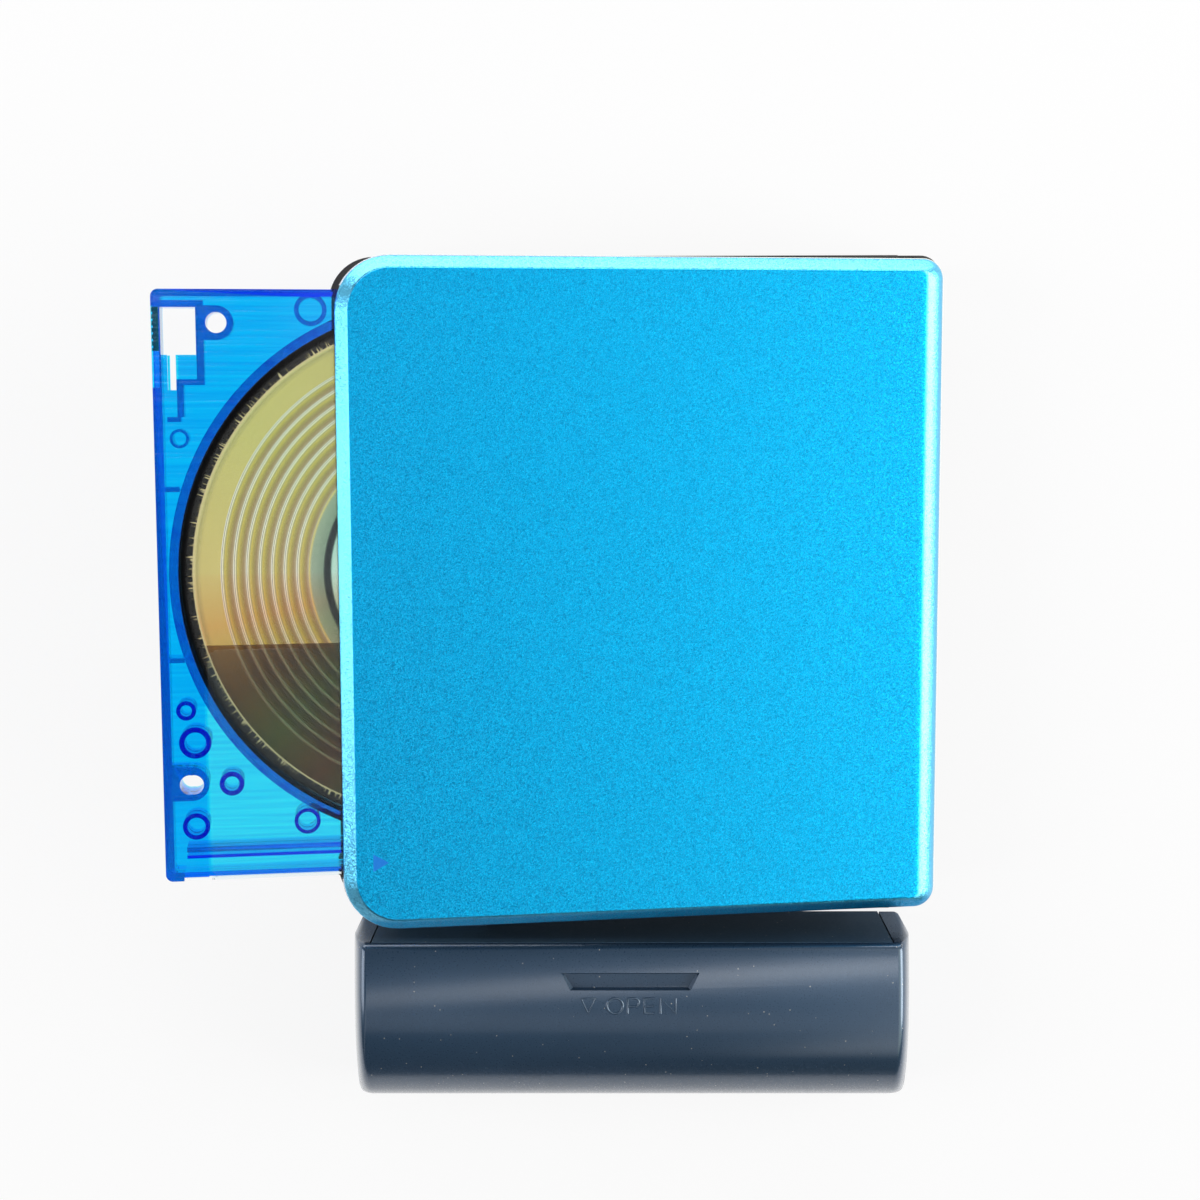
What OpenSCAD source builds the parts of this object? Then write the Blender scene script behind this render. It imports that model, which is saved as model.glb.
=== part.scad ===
// Portable minidisc player with a popped lid, a half ejected disc and its clip-on battery case.
// Millimetres, +Z up, +X towards the lid hinge, origin at the centre of the base's underside.
// The lid and all it carries are described closed and flat, then turned open by in_lid().

/* [Base] */
// Width of the base, from the loading side to the hinge side
base_w = 77.4; // [77:0.1:78]
// Depth of the base, along the hinge
base_d = 84.2; // [84:0.1:85]
// Height of the base's rim
base_h = 13.6; // [13.6:0.1:13.8]
// Thickness of the case walls
wall = 1.2; // [1:0.1:1.2]
// Corner radius on the loading side
front_r = 5.8; // [5:0.1:6]
// Corner radius on the hinge side
back_r = 2.5; // [2:0.1:3]

/* [Lid] */
// Width of the closed lid
lid_w = 76.1; // [75.8:0.1:76.3]
// Depth of the lid
lid_d = 83; // [82.6:0.1:83.2]
// Height of the closed lid's top face above the table
lid_top = 17; // [17:0.1:17.4]
// Width of the bevel round the top face
bevel = 1.6; // [1:0.1:2]
// Width of the rolled edge on the hinge side
roll_w = 3.4; // [2.6:0.1:3.6]
// Plan radius of the lid's two corners on the loading side
lid_r = 6.8; // [5.8:0.1:6.8]
// How far the lid stands open at rest, in degrees
lid_angle = 8.9; // [7:0.1:10]

/* [Disc cartridge] */
// Side of the cartridge along the hinge
cart_d = 72; // [71.8:0.1:72]
// Side of the cartridge along the loading direction
cart_w = 68; // [67.8:0.1:68]
// Thickness of the cartridge
cart_t = 5; // [4.8:0.1:5]
// How far the ejected cartridge stands out past the lid's edge
cart_out = 21.6; // [18:0.1:22]
// How far inside the lid's edge the loaded cartridge sits
cart_in = 5; // [4.6:0.1:5]
// Radius of the disc
disc_r = 32; // [31:0.5:32]

/* [Battery case] */
// Length of the battery case
case_w = 74.2; // [72:0.1:75]
// Depth of the battery case
case_d = 23.7; // [23.5:0.1:24.5]
// Height of its domed cover
case_h = 17.5; // [17.4:0.1:18]
// Gap between the player's side and the battery case
case_gap = 4.2; // [3:0.1:5]

/* [Hidden] */
$fn = 48;

play = 0.1;
bx = base_w / 2;
by = base_d / 2;
split_z = 8;
floor_t = 1;
chassis_t = 0.6;
chassis_z = split_z - chassis_t;

hinge_x = 34;
hinge_z = 9;
hinge_y = 39.3;
pin_r = 0.9;

lx = lid_w / 2;
ly = lid_d / 2;
lid_t = 0.9;
rim_z = base_h + play;
trim_z = rim_z + 0.7;
bevel_z = lid_top - bevel;
liner_t = 0.5;
liner_z = lid_top - lid_t - liner_t;
roll_in = 1.7;

cart_z = 9.6;
cart_top = cart_z + cart_t;
cart_mid = cart_z + cart_t / 2;
cart_x = -lx - cart_out;
cart_y1 = 37.4;
eject_travel = cart_out + cart_in;
disc_u = 35;
disc_v = 34.4;
cavity_r = disc_r + 0.6;
shell_t = 0.6;
shutter_travel = 16.4;
spindle_x = -lx + cart_in + disc_u;
spindle_y = cart_y1 - disc_v;

holder_t = 0.35;
holder_z = cart_top + 0.25;
mouth_y0 = cart_y1 - cart_d - 0.5;
mouth_y1 = cart_y1 + 0.5;
mouth_z = 11.3;

drive_z = 5;
rod_r = 1;
rod_dx = 9.5;
sled_y = spindle_y - 15.5;
gear_m = 0.25;
screw_x = spindle_x + 14.5;
screw_pitch = 2;
thread_len = 25;
idler_x = screw_x + 16 * gear_m + 0.06;
motor_x = idler_x + 12 * gear_m + 0.05;
gear_y = -36;
gear_w = 1.4;

bay_y0 = 22.5;
bay_y1 = 39.5;
cell_w = 67;
boss_points = [[-33.2, -36.6], [29.5, -36.6], [-35, 18.8], [35, 18.8]];
boss_r = 2;
thread_r = 0.8;

jack_y = -12;
jack_z = 4.8;
jack_r = 1.8;

button_z = 10.7;
button_h = 2.6;
button_proud = 0.1;
button_travel = 0.4;
// Centre and width of each push button along the side wall
stop_at = [-15.5, 5];
play_at = [-7.8, 7.4];
previous_at = [-0.2, 5];
next_at = [6.3, 5];
volume_down_at = [13.4, 5];
volume_up_at = [19.9, 5];
BUTTONS = [stop_at, play_at, previous_at, next_at, volume_down_at, volume_up_at];
hold_x = 25.4;
hold_travel = 2;
open_x = -28.3;
open_travel = 3;
catch_x = -33.7;

plug_x = -26;
plug_z = 5;
pin_dx = 4.5;
case_x0 = -37.5;
case_x1 = case_x0 + case_w;
case_y1 = -by - case_gap;
case_y0 = case_y1 - case_d;
cover_t = 1;
cover_y = case_y0 + 2.4;
cover_z = 2.6;
cover_r = 1.1;
tray_x0 = case_x0 + 3.1;
tray_x1 = case_x1 - 3.1;
wheel_r = 4.6;
aa_r = 7.25;
aa_y = case_y0 + 11;
aa_z = 8.5;
aa_x0 = -19;
aa_len = 49.4;

// A box between two corners
module box(x0, x1, y0, y1, z0, z1) {
  translate([x0, y0, z0]) cube([x1 - x0, y1 - y0, z1 - z0]);
}

// A flat outline with its own corner radius on the left and on the right
module outline(x0, x1, y0, y1, rl, rr) {
  for (y = [y0 + rl, y1 - rl]) translate([x0 + rl, y]) circle(rl);
  for (y = [y0 + rr, y1 - rr]) translate([x1 - rr, y]) circle(rr);
  translate([x0, y0 + rl]) square([rl, y1 - y0 - 2 * rl]);
  translate([x1 - rr, y0 + rr]) square([rr, y1 - y0 - 2 * rr]);
  translate([x0 + rl, y0]) square([x1 - x0 - rl - rr, y1 - y0]);
}

module slab(x0, x1, y0, y1, z0, z1, rl, rr) {
  translate([0, 0, z0]) linear_extrude(z1 - z0) outline(x0, x1, y0, y1, rl, rr);
}

// The base's plan drawn in by a margin, between two heights
module base_slab(inset, z0, z1) {
  slab(-bx + inset, bx - inset, -by + inset, by - inset, z0, z1, front_r - inset, max(back_r - inset, 0.6));
}

module lid_slab(inset, z0, z1) {
  slab(-lx + inset, lx - inset, -ly + inset, ly - inset, z0, z1, lid_r - inset, max(back_r - inset, 0.6));
}

// Cylinders along the three directions, from a start point
module rod_x(x0, x1, y, z, r) {
  translate([x0, y, z]) rotate([0, 90, 0]) cylinder(h = x1 - x0, r = r);
}

module rod_y(x, y0, y1, z, r) {
  translate([x, y1, z]) rotate([90, 0, 0]) cylinder(h = y1 - y0, r = r);
}

module rod_z(x, y, z0, z1, r) {
  translate([x, y, z0]) cylinder(h = z1 - z0, r = r);
}

// Turns what is drawn for the closed lid to the popped position
module in_lid() {
  translate([hinge_x, 0, hinge_z]) rotate([0, lid_angle, 0]) translate([-hinge_x, 0, -hinge_z]) children();
}

// Cartridge frame: X from the trailing edge, Y down from the far edge as negative numbers
module in_cart() {
  in_lid() translate([cart_x, cart_y1, 0]) children();
}

// A small screw head with a cross slot, under side at z0, threaded shank upwards or downwards
module screw(x, y, z0, head_r, head_h, length, up) {
  difference() {
    rod_z(x, y, z0, z0 + head_h, head_r);
    slot_z = up ? z0 - play : z0 + head_h / 2;
    for (a = [0, 90])
      translate([x, y, slot_z + (head_h / 2 + play) / 2])
        rotate([0, 0, a]) cube([head_r * 1.3, head_r * 0.28, head_h / 2 + play], center = true);
  }
  if (up) rod_z(x, y, z0 + head_h, z0 + head_h + length, thread_r - 0.05);
  else rod_z(x, y, z0 - length, z0, thread_r - 0.05);
}

// A toothed wheel of module gear_m round the Y axis
module gear_y_axis(x, teeth, phase, bore) {
  pitch_r = teeth * gear_m / 2;
  root_r = pitch_r - gear_m * 1.2;
  tip_r = pitch_r + gear_m * 0.95;
  half = 90 / teeth;
  tooth = [[root_r - 0.1, 1.25], [pitch_r, 0.86], [tip_r, 0.42]];
  sides = concat(tooth, [for (i = [2 : -1 : 0]) [tooth[i][0], -tooth[i][1]]]);
  difference() {
    union() {
      rod_y(x, gear_y, gear_y + gear_w, drive_z, root_r);
      translate([x, gear_y + gear_w, drive_z]) rotate([90, 0, 0]) for (i = [0 : teeth - 1])
        rotate([0, 0, phase + i * 360 / teeth]) linear_extrude(gear_w)
          polygon([for (p = sides) p[0] * [cos(half * p[1]), sin(half * p[1])]]);
    }
    if (bore > 0) rod_y(x, gear_y - 1, gear_y + gear_w + 1, drive_z, bore);
  }
}

// Base

module bottom_case() {
  color("#4a4744") {
    difference() {
      hull() {
        base_slab(1.2, 0, 0.1);
        base_slab(0, 1.2, split_z);
      }
      base_slab(wall, floor_t, split_z + 1);
      for (p = boss_points) rod_z(p[0], p[1], -1, floor_t + 1, thread_r + 0.05);
      for (p = boss_points) rod_z(p[0], p[1], -1, 0.7, 1.7);
      rod_x(bx - wall - 1, bx + 1, jack_y, jack_z, 3);
      box(bx - wall - 0.5, bx + 1, bay_y0 - 1, bay_y1, 1.25, 7.35);
      for (z = [0.9, 7.2]) rod_z(bx - 0.5, bay_y0 - 0.4, z, z + 0.5, 0.4);
      box(plug_x - 6, plug_x + 6, -by - 1, -by + wall + 1, plug_z - 2.2, plug_z + 2.2);
    }
    difference() {
      for (p = boss_points) {
        rod_z(p[0], p[1], floor_t, chassis_z, boss_r);
        rod_z(p[0], p[1], floor_t, 1.6, boss_r + 0.9);
      }
      for (p = boss_points) rod_z(p[0], p[1], 0, chassis_z + 1, thread_r + 0.05);
    }
    box(-33.5, 32.5, bay_y0 - 1.2, bay_y0 - 0.3, floor_t, chassis_z - play);
  }
}

module button_hole(at) {
  box(at[0] - at[1] / 2 - play, at[0] + at[1] / 2 + play, by - wall - 1, by + 1,
      button_z - button_h / 2 - play, button_z + button_h / 2 + play);
}

module side_frame() {
  color("#5a5350") difference() {
    base_slab(0, split_z, base_h);
    base_slab(wall, split_z - 1, base_h + 1);
    box(-bx - 1, -bx + wall + 1, mouth_y0, mouth_y1, mouth_z, base_h + 1);
    box(33.2, bx + 1, -by - 1, by + 1, base_h - 0.9, base_h + 1);
    for (b = BUTTONS) button_hole(b);
    box(hold_x - 1.6, hold_x + 1.6 + hold_travel, by - wall - 1, by + 1, button_z - 1.4, button_z + 1.4);
    box(open_x - 3.6, open_x + 2.9 + open_travel, by - wall - 1, by + 1, button_z - 1.4, button_z + 1.4);
    for (s = [-1, 1]) rod_y(hinge_x, s > 0 ? by - wall - 1 : -by + 0.5, s > 0 ? by - 0.5 : -by + wall + 1,
                            hinge_z, pin_r);
  }
}

module chassis_plate() {
  color("#b9bcc0") {
    difference() {
      base_slab(wall + 0.2, chassis_z, split_z);
      rod_z(spindle_x, spindle_y, chassis_z - 1, split_z + 1, 6);
      box(spindle_x - 7.4, spindle_x + 7.4, sled_y - 22.8, sled_y + 6.4, chassis_z - 1, split_z + 1);
      for (s = [-1, 1])
        box(31.4, bx, s > 0 ? 37.4 : -by, s > 0 ? by : -37.4, chassis_z - 1, split_z + 1);
      for (p = boss_points) rod_z(p[0], p[1], chassis_z - 1, split_z + 1, thread_r + 0.05);
      rod_z(-24, 8, chassis_z - 1, split_z + 1, 5);
      rod_z(26, 6, chassis_z - 1, split_z + 1, 4);
      slab(-30, -14, -30, -24, chassis_z - 1, split_z + 1, 2.9, 2.9);
    }
    difference() {
      for (y = [-37.6, -5.4], s = [-1, 1])
        box(spindle_x + s * rod_dx - 1.8, spindle_x + s * rod_dx + 1.8, y, y + 1, drive_z - 1.6, chassis_z);
      for (s = [-1, 1]) rod_y(spindle_x + s * rod_dx, -40, 0, drive_z, rod_r);
    }
    difference() {
      for (y = [-37.9, -6.4]) box(screw_x - 1.3, screw_x + 1.3, y, y + 0.9, drive_z - 1.2, chassis_z);
      rod_y(screw_x, -40, 0, drive_z, 0.65);
    }
    difference() {
      box(idler_x - 1.4, motor_x + 3.1, gear_y + gear_w + 0.3, gear_y + gear_w + 1,
        drive_z - 2.3, chassis_z);
      rod_y(motor_x, -40, 0, drive_z, 0.6);
      rod_y(idler_x, -40, 0, drive_z, 0.5);
    }
  }
}

module circuit_board() {
  color("#1f5a3a") difference() {
    slab(-bx + wall + 0.4, bx - wall - 0.4, -by + wall + 0.4, bay_y0 - 1.5, 1.6, 2.4, front_r - 1.8, 1);
    for (p = boss_points) rod_z(p[0], p[1], 1, 3, boss_r + 0.15);
    box(plug_x - 6.2, plug_x + 6.2, -by, -37.2, 1, 3);
  }
}

module board_chips() {
  color("#222222") {
    box(-26, -15, -15, -4, 2.4, 3.5);
    box(-33, -29, -14, -5, 2.4, 3.3);
    box(-24, -17, 2, 14, 2.4, 3.5);
    box(-33.5, -28, 0, 6, 2.4, 3.2);
    box(21, 33, -5, 5, 2.4, 3.5);
    box(20, 27, 9, 15, 2.4, 3.3);
    box(31, 35.5, 8, 12, 2.4, 3.4);
    for (i = [0 : 6]) box(-33 + i * 2.6, -31.6 + i * 2.6, -20, -19.2, 2.4, 2.9);
    for (i = [0 : 5]) box(14 + i * 2.6, 15.4 + i * 2.6, 17, 17.8, 2.4, 2.9);
  }
}

module spindle_motor() {
  color("#8d9095") difference() {
    union() {
      rod_z(spindle_x, spindle_y, 2.6, chassis_z, 9);
      rod_z(spindle_x, spindle_y, chassis_z, 7.9, 4);
    }
    rod_z(spindle_x, spindle_y, 2.9, 9, 0.85);
  }
}

module guide_rods() {
  color("silver") for (s = [-1, 1]) rod_y(spindle_x + s * rod_dx, -37.4, -4.6, drive_z, rod_r);
}

module sled_motor() {
  color("#9a9da2") difference() {
    intersection() {
      rod_y(motor_x, -33.6, -24, drive_z, 3);
      box(motor_x - 4, motor_x + 4, -34, -23, drive_z - 2.3, drive_z + 2.3);
    }
    rod_y(motor_x, -34, -24.6, drive_z, 0.55);
  }
}

module idler_pin() {
  color("silver") rod_y(idler_x, gear_y - 0.2, gear_y + gear_w + 1, drive_z, 0.5);
}

module headphone_jack() {
  color("#2b2b2d") difference() {
    union() {
      box(bx - 13.1, bx - wall - 0.1, jack_y - 3.2, jack_y + 3.2, 2.4, 7.2);
      rod_x(bx - wall - 0.1, bx + 0.2, jack_y, jack_z, 2.9);
    }
    rod_x(bx - 12.2, bx + 1, jack_y, jack_z, jack_r);
  }
}

module battery_contacts() {
  color("#c9a24a") {
    box(-36.6, -36.2, 28, 34, floor_t, 6.6);
    rod_x(-36.2, -cell_w / 2 - 0.1, 31, 4, 1.3);
  }
}

module terminal_block() {
  color("#2e2d2c") difference() {
    box(plug_x - 5.9, plug_x + 5.9, -by, -38.2, plug_z - 2.1, plug_z + 2.1);
    rod_y(plug_x, -by - 1, -38.6, plug_z, 1.1);
    for (s = [-1, 1]) rod_y(plug_x + s * pin_dx, -by - 1, -39, plug_z, 0.95);
  }
}

module hinge_pins() {
  color("silver") {
    rod_y(hinge_x, 38.35, by - 0.55, hinge_z, pin_r);
    rod_y(hinge_x, -by + 0.55, -38.1, hinge_z, pin_r);
  }
}

// Torsion springs round the hinge pins, as plain sleeves of their outer size
module hinge_springs() {
  color("#8b8e92") for (s = [-1, 1]) difference() {
    rod_y(hinge_x, s * 40.5 - 0.3, s * 40.5 + 0.3, hinge_z, 1.6);
    rod_y(hinge_x, s * 40.5 - 1, s * 40.5 + 1, hinge_z, pin_r + 0.05);
  }
}

module case_screws() {
  color("#9b9ea3") for (p = boss_points) screw(p[0], p[1], 0.05, 1.6, 0.65, 3.6, true);
}

module chassis_screws() {
  color("#9b9ea3") for (p = boss_points) screw(p[0], p[1], split_z, 1.4, 0.6, 2.8, false);
}

module switch_board() {
  color("#2c6a43") box(-18.4, 23.2, 38.45, 38.95, split_z, 12.8);
  color("#b9bcc0") for (b = BUTTONS)
    box(b[0] - 1.5, b[0] + 1.5, 38.95, 39.4, button_z - 1.3, button_z + 1.3);
}

module rechargeable_battery() {
  color("#c9ccd0") {
    translate([-cell_w / 2, 0, 0]) rotate([90, 0, 90]) linear_extrude(cell_w)
      outline(bay_y0, bay_y1, 1.05, 6.95, 0.8, 0.8);
  }
}

// Lid

// How far the rolled edge has turned in at a height
function rolled(z) = roll_w * (1 - sqrt(1 - pow((z - trim_z) / (lid_top - trim_z), 2)));

// Heights of the cover's edge, each with how far its three bevelled sides step in
EDGE = concat([[trim_z, 0], [trim_z + 0.6, 0]],
  [for (e = [[0, 0], [0.14, 0.06], [0.5, 0.42], [0.72, 0.65], [0.92, 0.86], [1, 1]])
    [bevel_z + e[0] * bevel, e[1] * bevel]]);

function corner(x, y, r, start) = [for (a = [0 : 15 : 90]) [x + r * cos(start + a), y + r * sin(start + a)]];

// The cover's outline at one height, round from the hinge side's near corner
function lid_ring(z, inset, rl, rr) = [
  for (p = concat(
    corner(lx - rolled(z) - rr, -ly + inset + rr, rr, -90),
    corner(lx - rolled(z) - rr, ly - inset - rr, rr, 0),
    corner(-lx + inset + rl, ly - inset - rl, rl, 90),
    corner(-lx + inset + rl, -ly + inset + rl, rl, 180)))
    [p[0], p[1], z]];

// The solid cover: outlines joined from the trim to the flat top
module lid_block() {
  rings = [for (e = EDGE) lid_ring(e[0], e[1], lid_r - e[1], max(back_r - e[1], 0.6))];
  n = len(rings[0]);
  last = (len(rings) - 1) * n;
  sides = [
    for (k = [0 : n : last - n], i = [0 : n - 1], half = [0, 1])
      half == 0 ? [k + i, k + n + i, k + n + (i + 1) % n] : [k + i, k + n + (i + 1) % n, k + (i + 1) % n]];
  polyhedron(
    points = [for (r = rings) each r],
    faces = concat([[for (i = [0 : n - 1]) i]], sides, [[for (i = [n - 1 : -1 : 0]) last + i]]));
}

// The space under the cover, kept clear of the rolled edge by a margin
module lid_inside(inset, z0, z1) {
  slab(-lx + inset, lx - roll_in + lid_t - inset, -ly + inset, ly - inset, z0, z1, lid_r - inset, 1);
}

module lid_cover() {
  color("#12b4ee") in_lid() difference() {
    lid_block();
    lid_inside(lid_t, trim_z - 1, lid_top - lid_t);
    box(-lx - 1, -lx + lid_t + 1, mouth_y0, mouth_y1, trim_z - 1, holder_z + 0.05);
  }
}

// A thin bright frame that carries the cover's edge
module lid_trim() {
  color("#d5dde2") in_lid() difference() {
    lid_slab(-0.15, rim_z, trim_z);
    lid_slab(lid_t, rim_z - 1, trim_z + 1);
    box(-lx - 1, -lx + lid_t + 1, mouth_y0, mouth_y1, rim_z - 1, trim_z + 1);
  }
}

tab_points = [[-24, 39.2], [24, 39.2], [-24, -36.6], [24, -36.6]];

module lid_liner() {
  color("#33363a") in_lid() difference() {
    lid_inside(lid_t + 0.1, liner_z, liner_z + liner_t);
    for (p = tab_points) rod_z(p[0], p[1], liner_z - 1, liner_z + liner_t + 1, 0.65);
  }
}

module hinge_arms() {
  color("#a9acb0") in_lid() for (y = [hinge_y - 0.8, -hinge_y - 0.8])
    translate([0, y + 1.6, 0]) rotate([90, 0, 0]) linear_extrude(1.6) difference() {
      union() {
        translate([hinge_x, hinge_z]) circle(1.8);
        polygon([[hinge_x - 1.75, hinge_z], [hinge_x - 3.5, liner_z], [hinge_x + 1.9, liner_z],
                 [hinge_x + 1.75, hinge_z]]);
      }
      translate([hinge_x, hinge_z]) circle(pin_r + 0.05);
    }
}

module lid_catch() {
  color("#33363a") in_lid() {
    box(catch_x - 0.5, catch_x + 0.5, 38.5, 39.7, 9.6, liner_z);
    box(catch_x + 0.5, catch_x + 1.1, 38.5, 39.7, 9.6, 10.4);
  }
}

module disc_holder() {
  hx0 = -35.9;
  hx1 = 35.5;
  hy0 = cart_y1 - cart_d - 0.3;
  hy1 = cart_y1 + 0.3;
  color("#b4b7bb") in_lid() difference() {
    union() {
      box(hx0, hx1, hy0 - holder_t, hy1 + holder_t, holder_z, holder_z + holder_t);
      for (y = [hy0 - holder_t, hy1]) box(hx0, hx1, y, y + holder_t, 8.95, holder_z + holder_t);
      box(hx0, hx1, hy0 - holder_t, hy0 + 3, 8.95, 8.95 + holder_t);
      box(hx0, hx1, hy1 - 3, hy1 + holder_t, 8.95, 8.95 + holder_t);
      for (p = tab_points) {
        inner = p[1] > 0 ? hy1 : hy0;
        box(p[0] - 2, p[0] + 2, min(inner, p[1] - 1.3), max(inner, p[1] + 1.3), holder_z,
          holder_z + holder_t);
        rod_z(p[0], p[1], holder_z, liner_z, 1.2);
      }
    }
    for (p = tab_points) rod_z(p[0], p[1], holder_z - 1, liner_z + 1, 0.65);
    for (s = [-1, 1]) box(7.9, hx1 + 1, s * 8 - 1.3, s * 8 + 1.3, holder_z - 1, holder_z + holder_t + 0.5);
    rod_z(-12, 20, holder_z - 0.2, holder_z + 1, 8);
    rod_z(-12, -18, holder_z - 0.2, holder_z + 1, 8);
  }
}

module holder_screws() {
  color("#9b9ea3") in_lid() for (p = tab_points) {
    rod_z(p[0], p[1], holder_z - 0.5, holder_z, 1.1);
    rod_z(p[0], p[1], holder_z, liner_z + liner_t, 0.6);
  }
}

module eject_slider() {
  x0 = cart_x + cart_w + play;
  color("#e8e6e0") in_lid() {
    box(x0 - 11.4, x0 + 1.2, -9.2, 9.2, holder_z + holder_t + 0.05, liner_z - play);
    for (s = [-1, 1]) box(x0, x0 + 1.2, s * 8 - 1, s * 8 + 1, cart_top - 0.1, holder_z + holder_t + 0.1);
    box(x0, x0 + 1.2, -12, 12, 10.7, cart_top - 0.1);
  }
}

// Cartridge

// Rings moulded between the two shells: place from the trailing and far edges, outer and inner radius
RINGS = [[2.95, 17.8, 1.15, 0.8], [2.9, 50.9, 1.2, 0.7], [8.2, 60.1, 1.5, 0.9], [3.8, 65.3, 1.65, 1.1],
  [17.3, 65.1, 1.6, 1.15], [60.5, 6.5, 1.6, 1.1], [63.5, 15, 1.2, 0.8], [62, 61, 1.5, 1],
  [50, 66.4, 1.3, 0.8]];

module cart_box(u0, u1, v0, v1, z0, z1) {
  box(u0, u1, -v1, -v0, z0, z1);
}

module cart_rod(u, v, z0, z1, r) {
  rod_z(u, -v, z0, z1, r);
}

// One half shell between two heights: the plate lies at plate_z, its walls fill z0 to z1
module half_shell(plate_z, z0, z1, recess_z) {
  hollow_z0 = plate_z > z0 ? z0 - 1 : z0 + shell_t;
  hollow_z1 = plate_z > z0 ? z1 - shell_t : z1 + 1;
  difference() {
    union() {
      slab(0, cart_w, -cart_d, 0, plate_z, plate_z + shell_t, 0.9, 0.9);
      difference() {
        slab(0, cart_w, -cart_d, 0, z0, z1, 0.9, 0.9);
        slab(1.05, cart_w - 1, -cart_d + 1, -0.85, z0 - 1, z1 + 1, 0.4, 0.4);
      }
      intersection() {
        slab(0, cart_w, -cart_d, 0, z0, z1, 0.9, 0.9);
        cart_rod(disc_u, disc_v, z0, z1, cavity_r + 1.1);
      }
      for (r = RINGS) cart_rod(r[0], r[1], z0, z1, r[2]);
      cart_rod(7.6, 3.97, z0, z1, 2.05);
      cart_box(5.2, 7.6, 1.92, 6.02, z0, z1);
      cart_box(1, 6.1, 1.3, 2.15, z0, z1);
      cart_box(5.2, 6.1, 2, 11.4, z0, z1);
      cart_box(2.8, 6.1, 10.7, 11.4, z0, z1);
      cart_box(2.8, 3.6, 11.4, 15.2, z0, z1);
      cart_box(1.6, 3.2, 15.2, 15.8, z0, z1);
      cart_box(1, 2.8, 23.6, 24.2, z0, z1);
      cart_box(1, 2.9, 44.4, 45, z0, z1);
      cart_rod(3.4, 60, z0, z1, 2.1);
      cart_box(1, 3.4, 57.9, 62.1, z0, z1);
      cart_rod(3.9, 54.9, z0, z1, 1.95);
      cart_rod(18.8, 2.4, z0, z1, 1.95);
      cart_box(2.6, cart_w - 2, 67.9, 68.5, z0, z1);
      cart_box(2.6, cart_w - 2, 68.9, 69.3, z0, z1);
    }
    cart_rod(disc_u, disc_v, z0 - 1, z1 + 1, cavity_r);
    for (r = RINGS) cart_rod(r[0], r[1], hollow_z0, hollow_z1, r[3]);
    cart_rod(7.6, 3.97, z0 - 1, z1 + 1, 1.25);
    for (u = [3.15, 3.65]) cart_rod(u, 60, z0 - 1, z1 + 1, 1.2);
    cart_rod(3.9, 54.9, hollow_z0, hollow_z1, 1.3);
    cart_rod(18.8, 2.4, hollow_z0, hollow_z1, 1.4);
    cart_box(1.05, 5.2, 2.15, 7.8, z0 - 1, z1 + 1);
    cart_box(1.8, 2.8, 7.8, 12, z0 - 1, z1 + 1);
    if (plate_z > z0) {
      cart_box(-1, 0.55, 2, 11.7, z0 - 1, cart_top - 0.5);
      cart_box(0.5, 0.85, 2, 11.7, z0 - 1, cart_top - 0.3);
    }
    cart_box(5.2, 46.6, 43.2, cart_d + 1, recess_z, recess_z + 0.4);
    cart_box(2.2, 46.6, 71.55, cart_d + 1, z0 - 1, z1 + 1);
  }
}

module cartridge_top_shell() {
  color("#0a7cff", 0.75) in_cart() half_shell(cart_top - shell_t, cart_mid, cart_top, cart_top - 0.4);
}

module cartridge_bottom_shell() {
  color("#0a7cff", 0.75) in_cart() half_shell(cart_z, cart_z, cart_mid, cart_z);
}

// Clear plates over and under the disc, with the openings for the pickup and the hub
module cartridge_windows() {
  color("#e8f2f2", 0.5) in_cart() difference() {
    intersection() {
      union() {
        cart_rod(disc_u, disc_v, cart_top - 0.75, cart_top - 0.42, cavity_r - 0.02);
        cart_rod(disc_u, disc_v, cart_z + 0.42, cart_z + 0.75, cavity_r - 0.02);
      }
      cart_box(0.4, cart_w - 0.4, 0.4, cart_d - 0.4, cart_z, cart_top);
    }
    cart_box(disc_u - 5.2, disc_u + 5.6, disc_v + 10.5, 67.5, cart_z - 1, cart_top + 1);
    cart_rod(disc_u, disc_v, cart_z - 1, cart_z + 1, 8.6);
  }
}

// The neck shows in the wall's slot; the taller foot behind it keeps the tab in
module write_protect_tab() {
  color("#3c3c40") in_cart() difference() {
    union() {
      cart_box(0.05, 0.5, 2.1, 7.3, cart_mid + play, cart_top - 0.55);
      cart_box(0.5, 0.8, 2.1, 7.3, cart_mid + play, cart_top - 0.35);
    }
    for (v = [2.7 : 0.8 : 7]) cart_box(-1, 0.2, v, v + 0.3, cart_z, cart_top);
  }
}

module cartridge_shutter() {
  color("#dfe9ea", 0.5) in_cart() difference() {
    union() {
      for (z = [cart_z + 0.05, cart_top - 0.35])
        slab(5.6, 29.6, -71.95, -43.5, z, z + 0.3, 1.4, 1.4);
      cart_box(2.4, 29.6, 71.65, 71.95, cart_z + 0.05, cart_top - 0.05);
    }
    for (z = [cart_z - 1, cart_top - 1]) cart_box(2, 5.6, 71, 73, z, z + 2);
  }
}

module disc() {
  color("#d8c27a") in_cart() difference() {
    cart_rod(disc_u, disc_v, 11.5, 12.7, disc_r);
    cart_rod(disc_u, disc_v, 11, 13, 5.5);
  }
}

module disc_hub() {
  color("#9fa3a7") in_cart() difference() {
    union() {
      cart_rod(disc_u, disc_v, 10.5, 11.5, 8);
      cart_rod(disc_u, disc_v, 11.5, 12.4, 5.45);
    }
    cart_rod(disc_u, disc_v, 10, 13, 1.1);
  }
}

// Drive

module turntable() {
  color("#c7cacd") difference() {
    union() {
      rod_z(spindle_x, spindle_y, 8.15, 8.8, 5.4);
      rod_z(spindle_x, spindle_y, 8.8, 10.15, 3.4);
    }
    rod_z(spindle_x, spindle_y, 8, 9.8, 0.75);
  }
}

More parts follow.
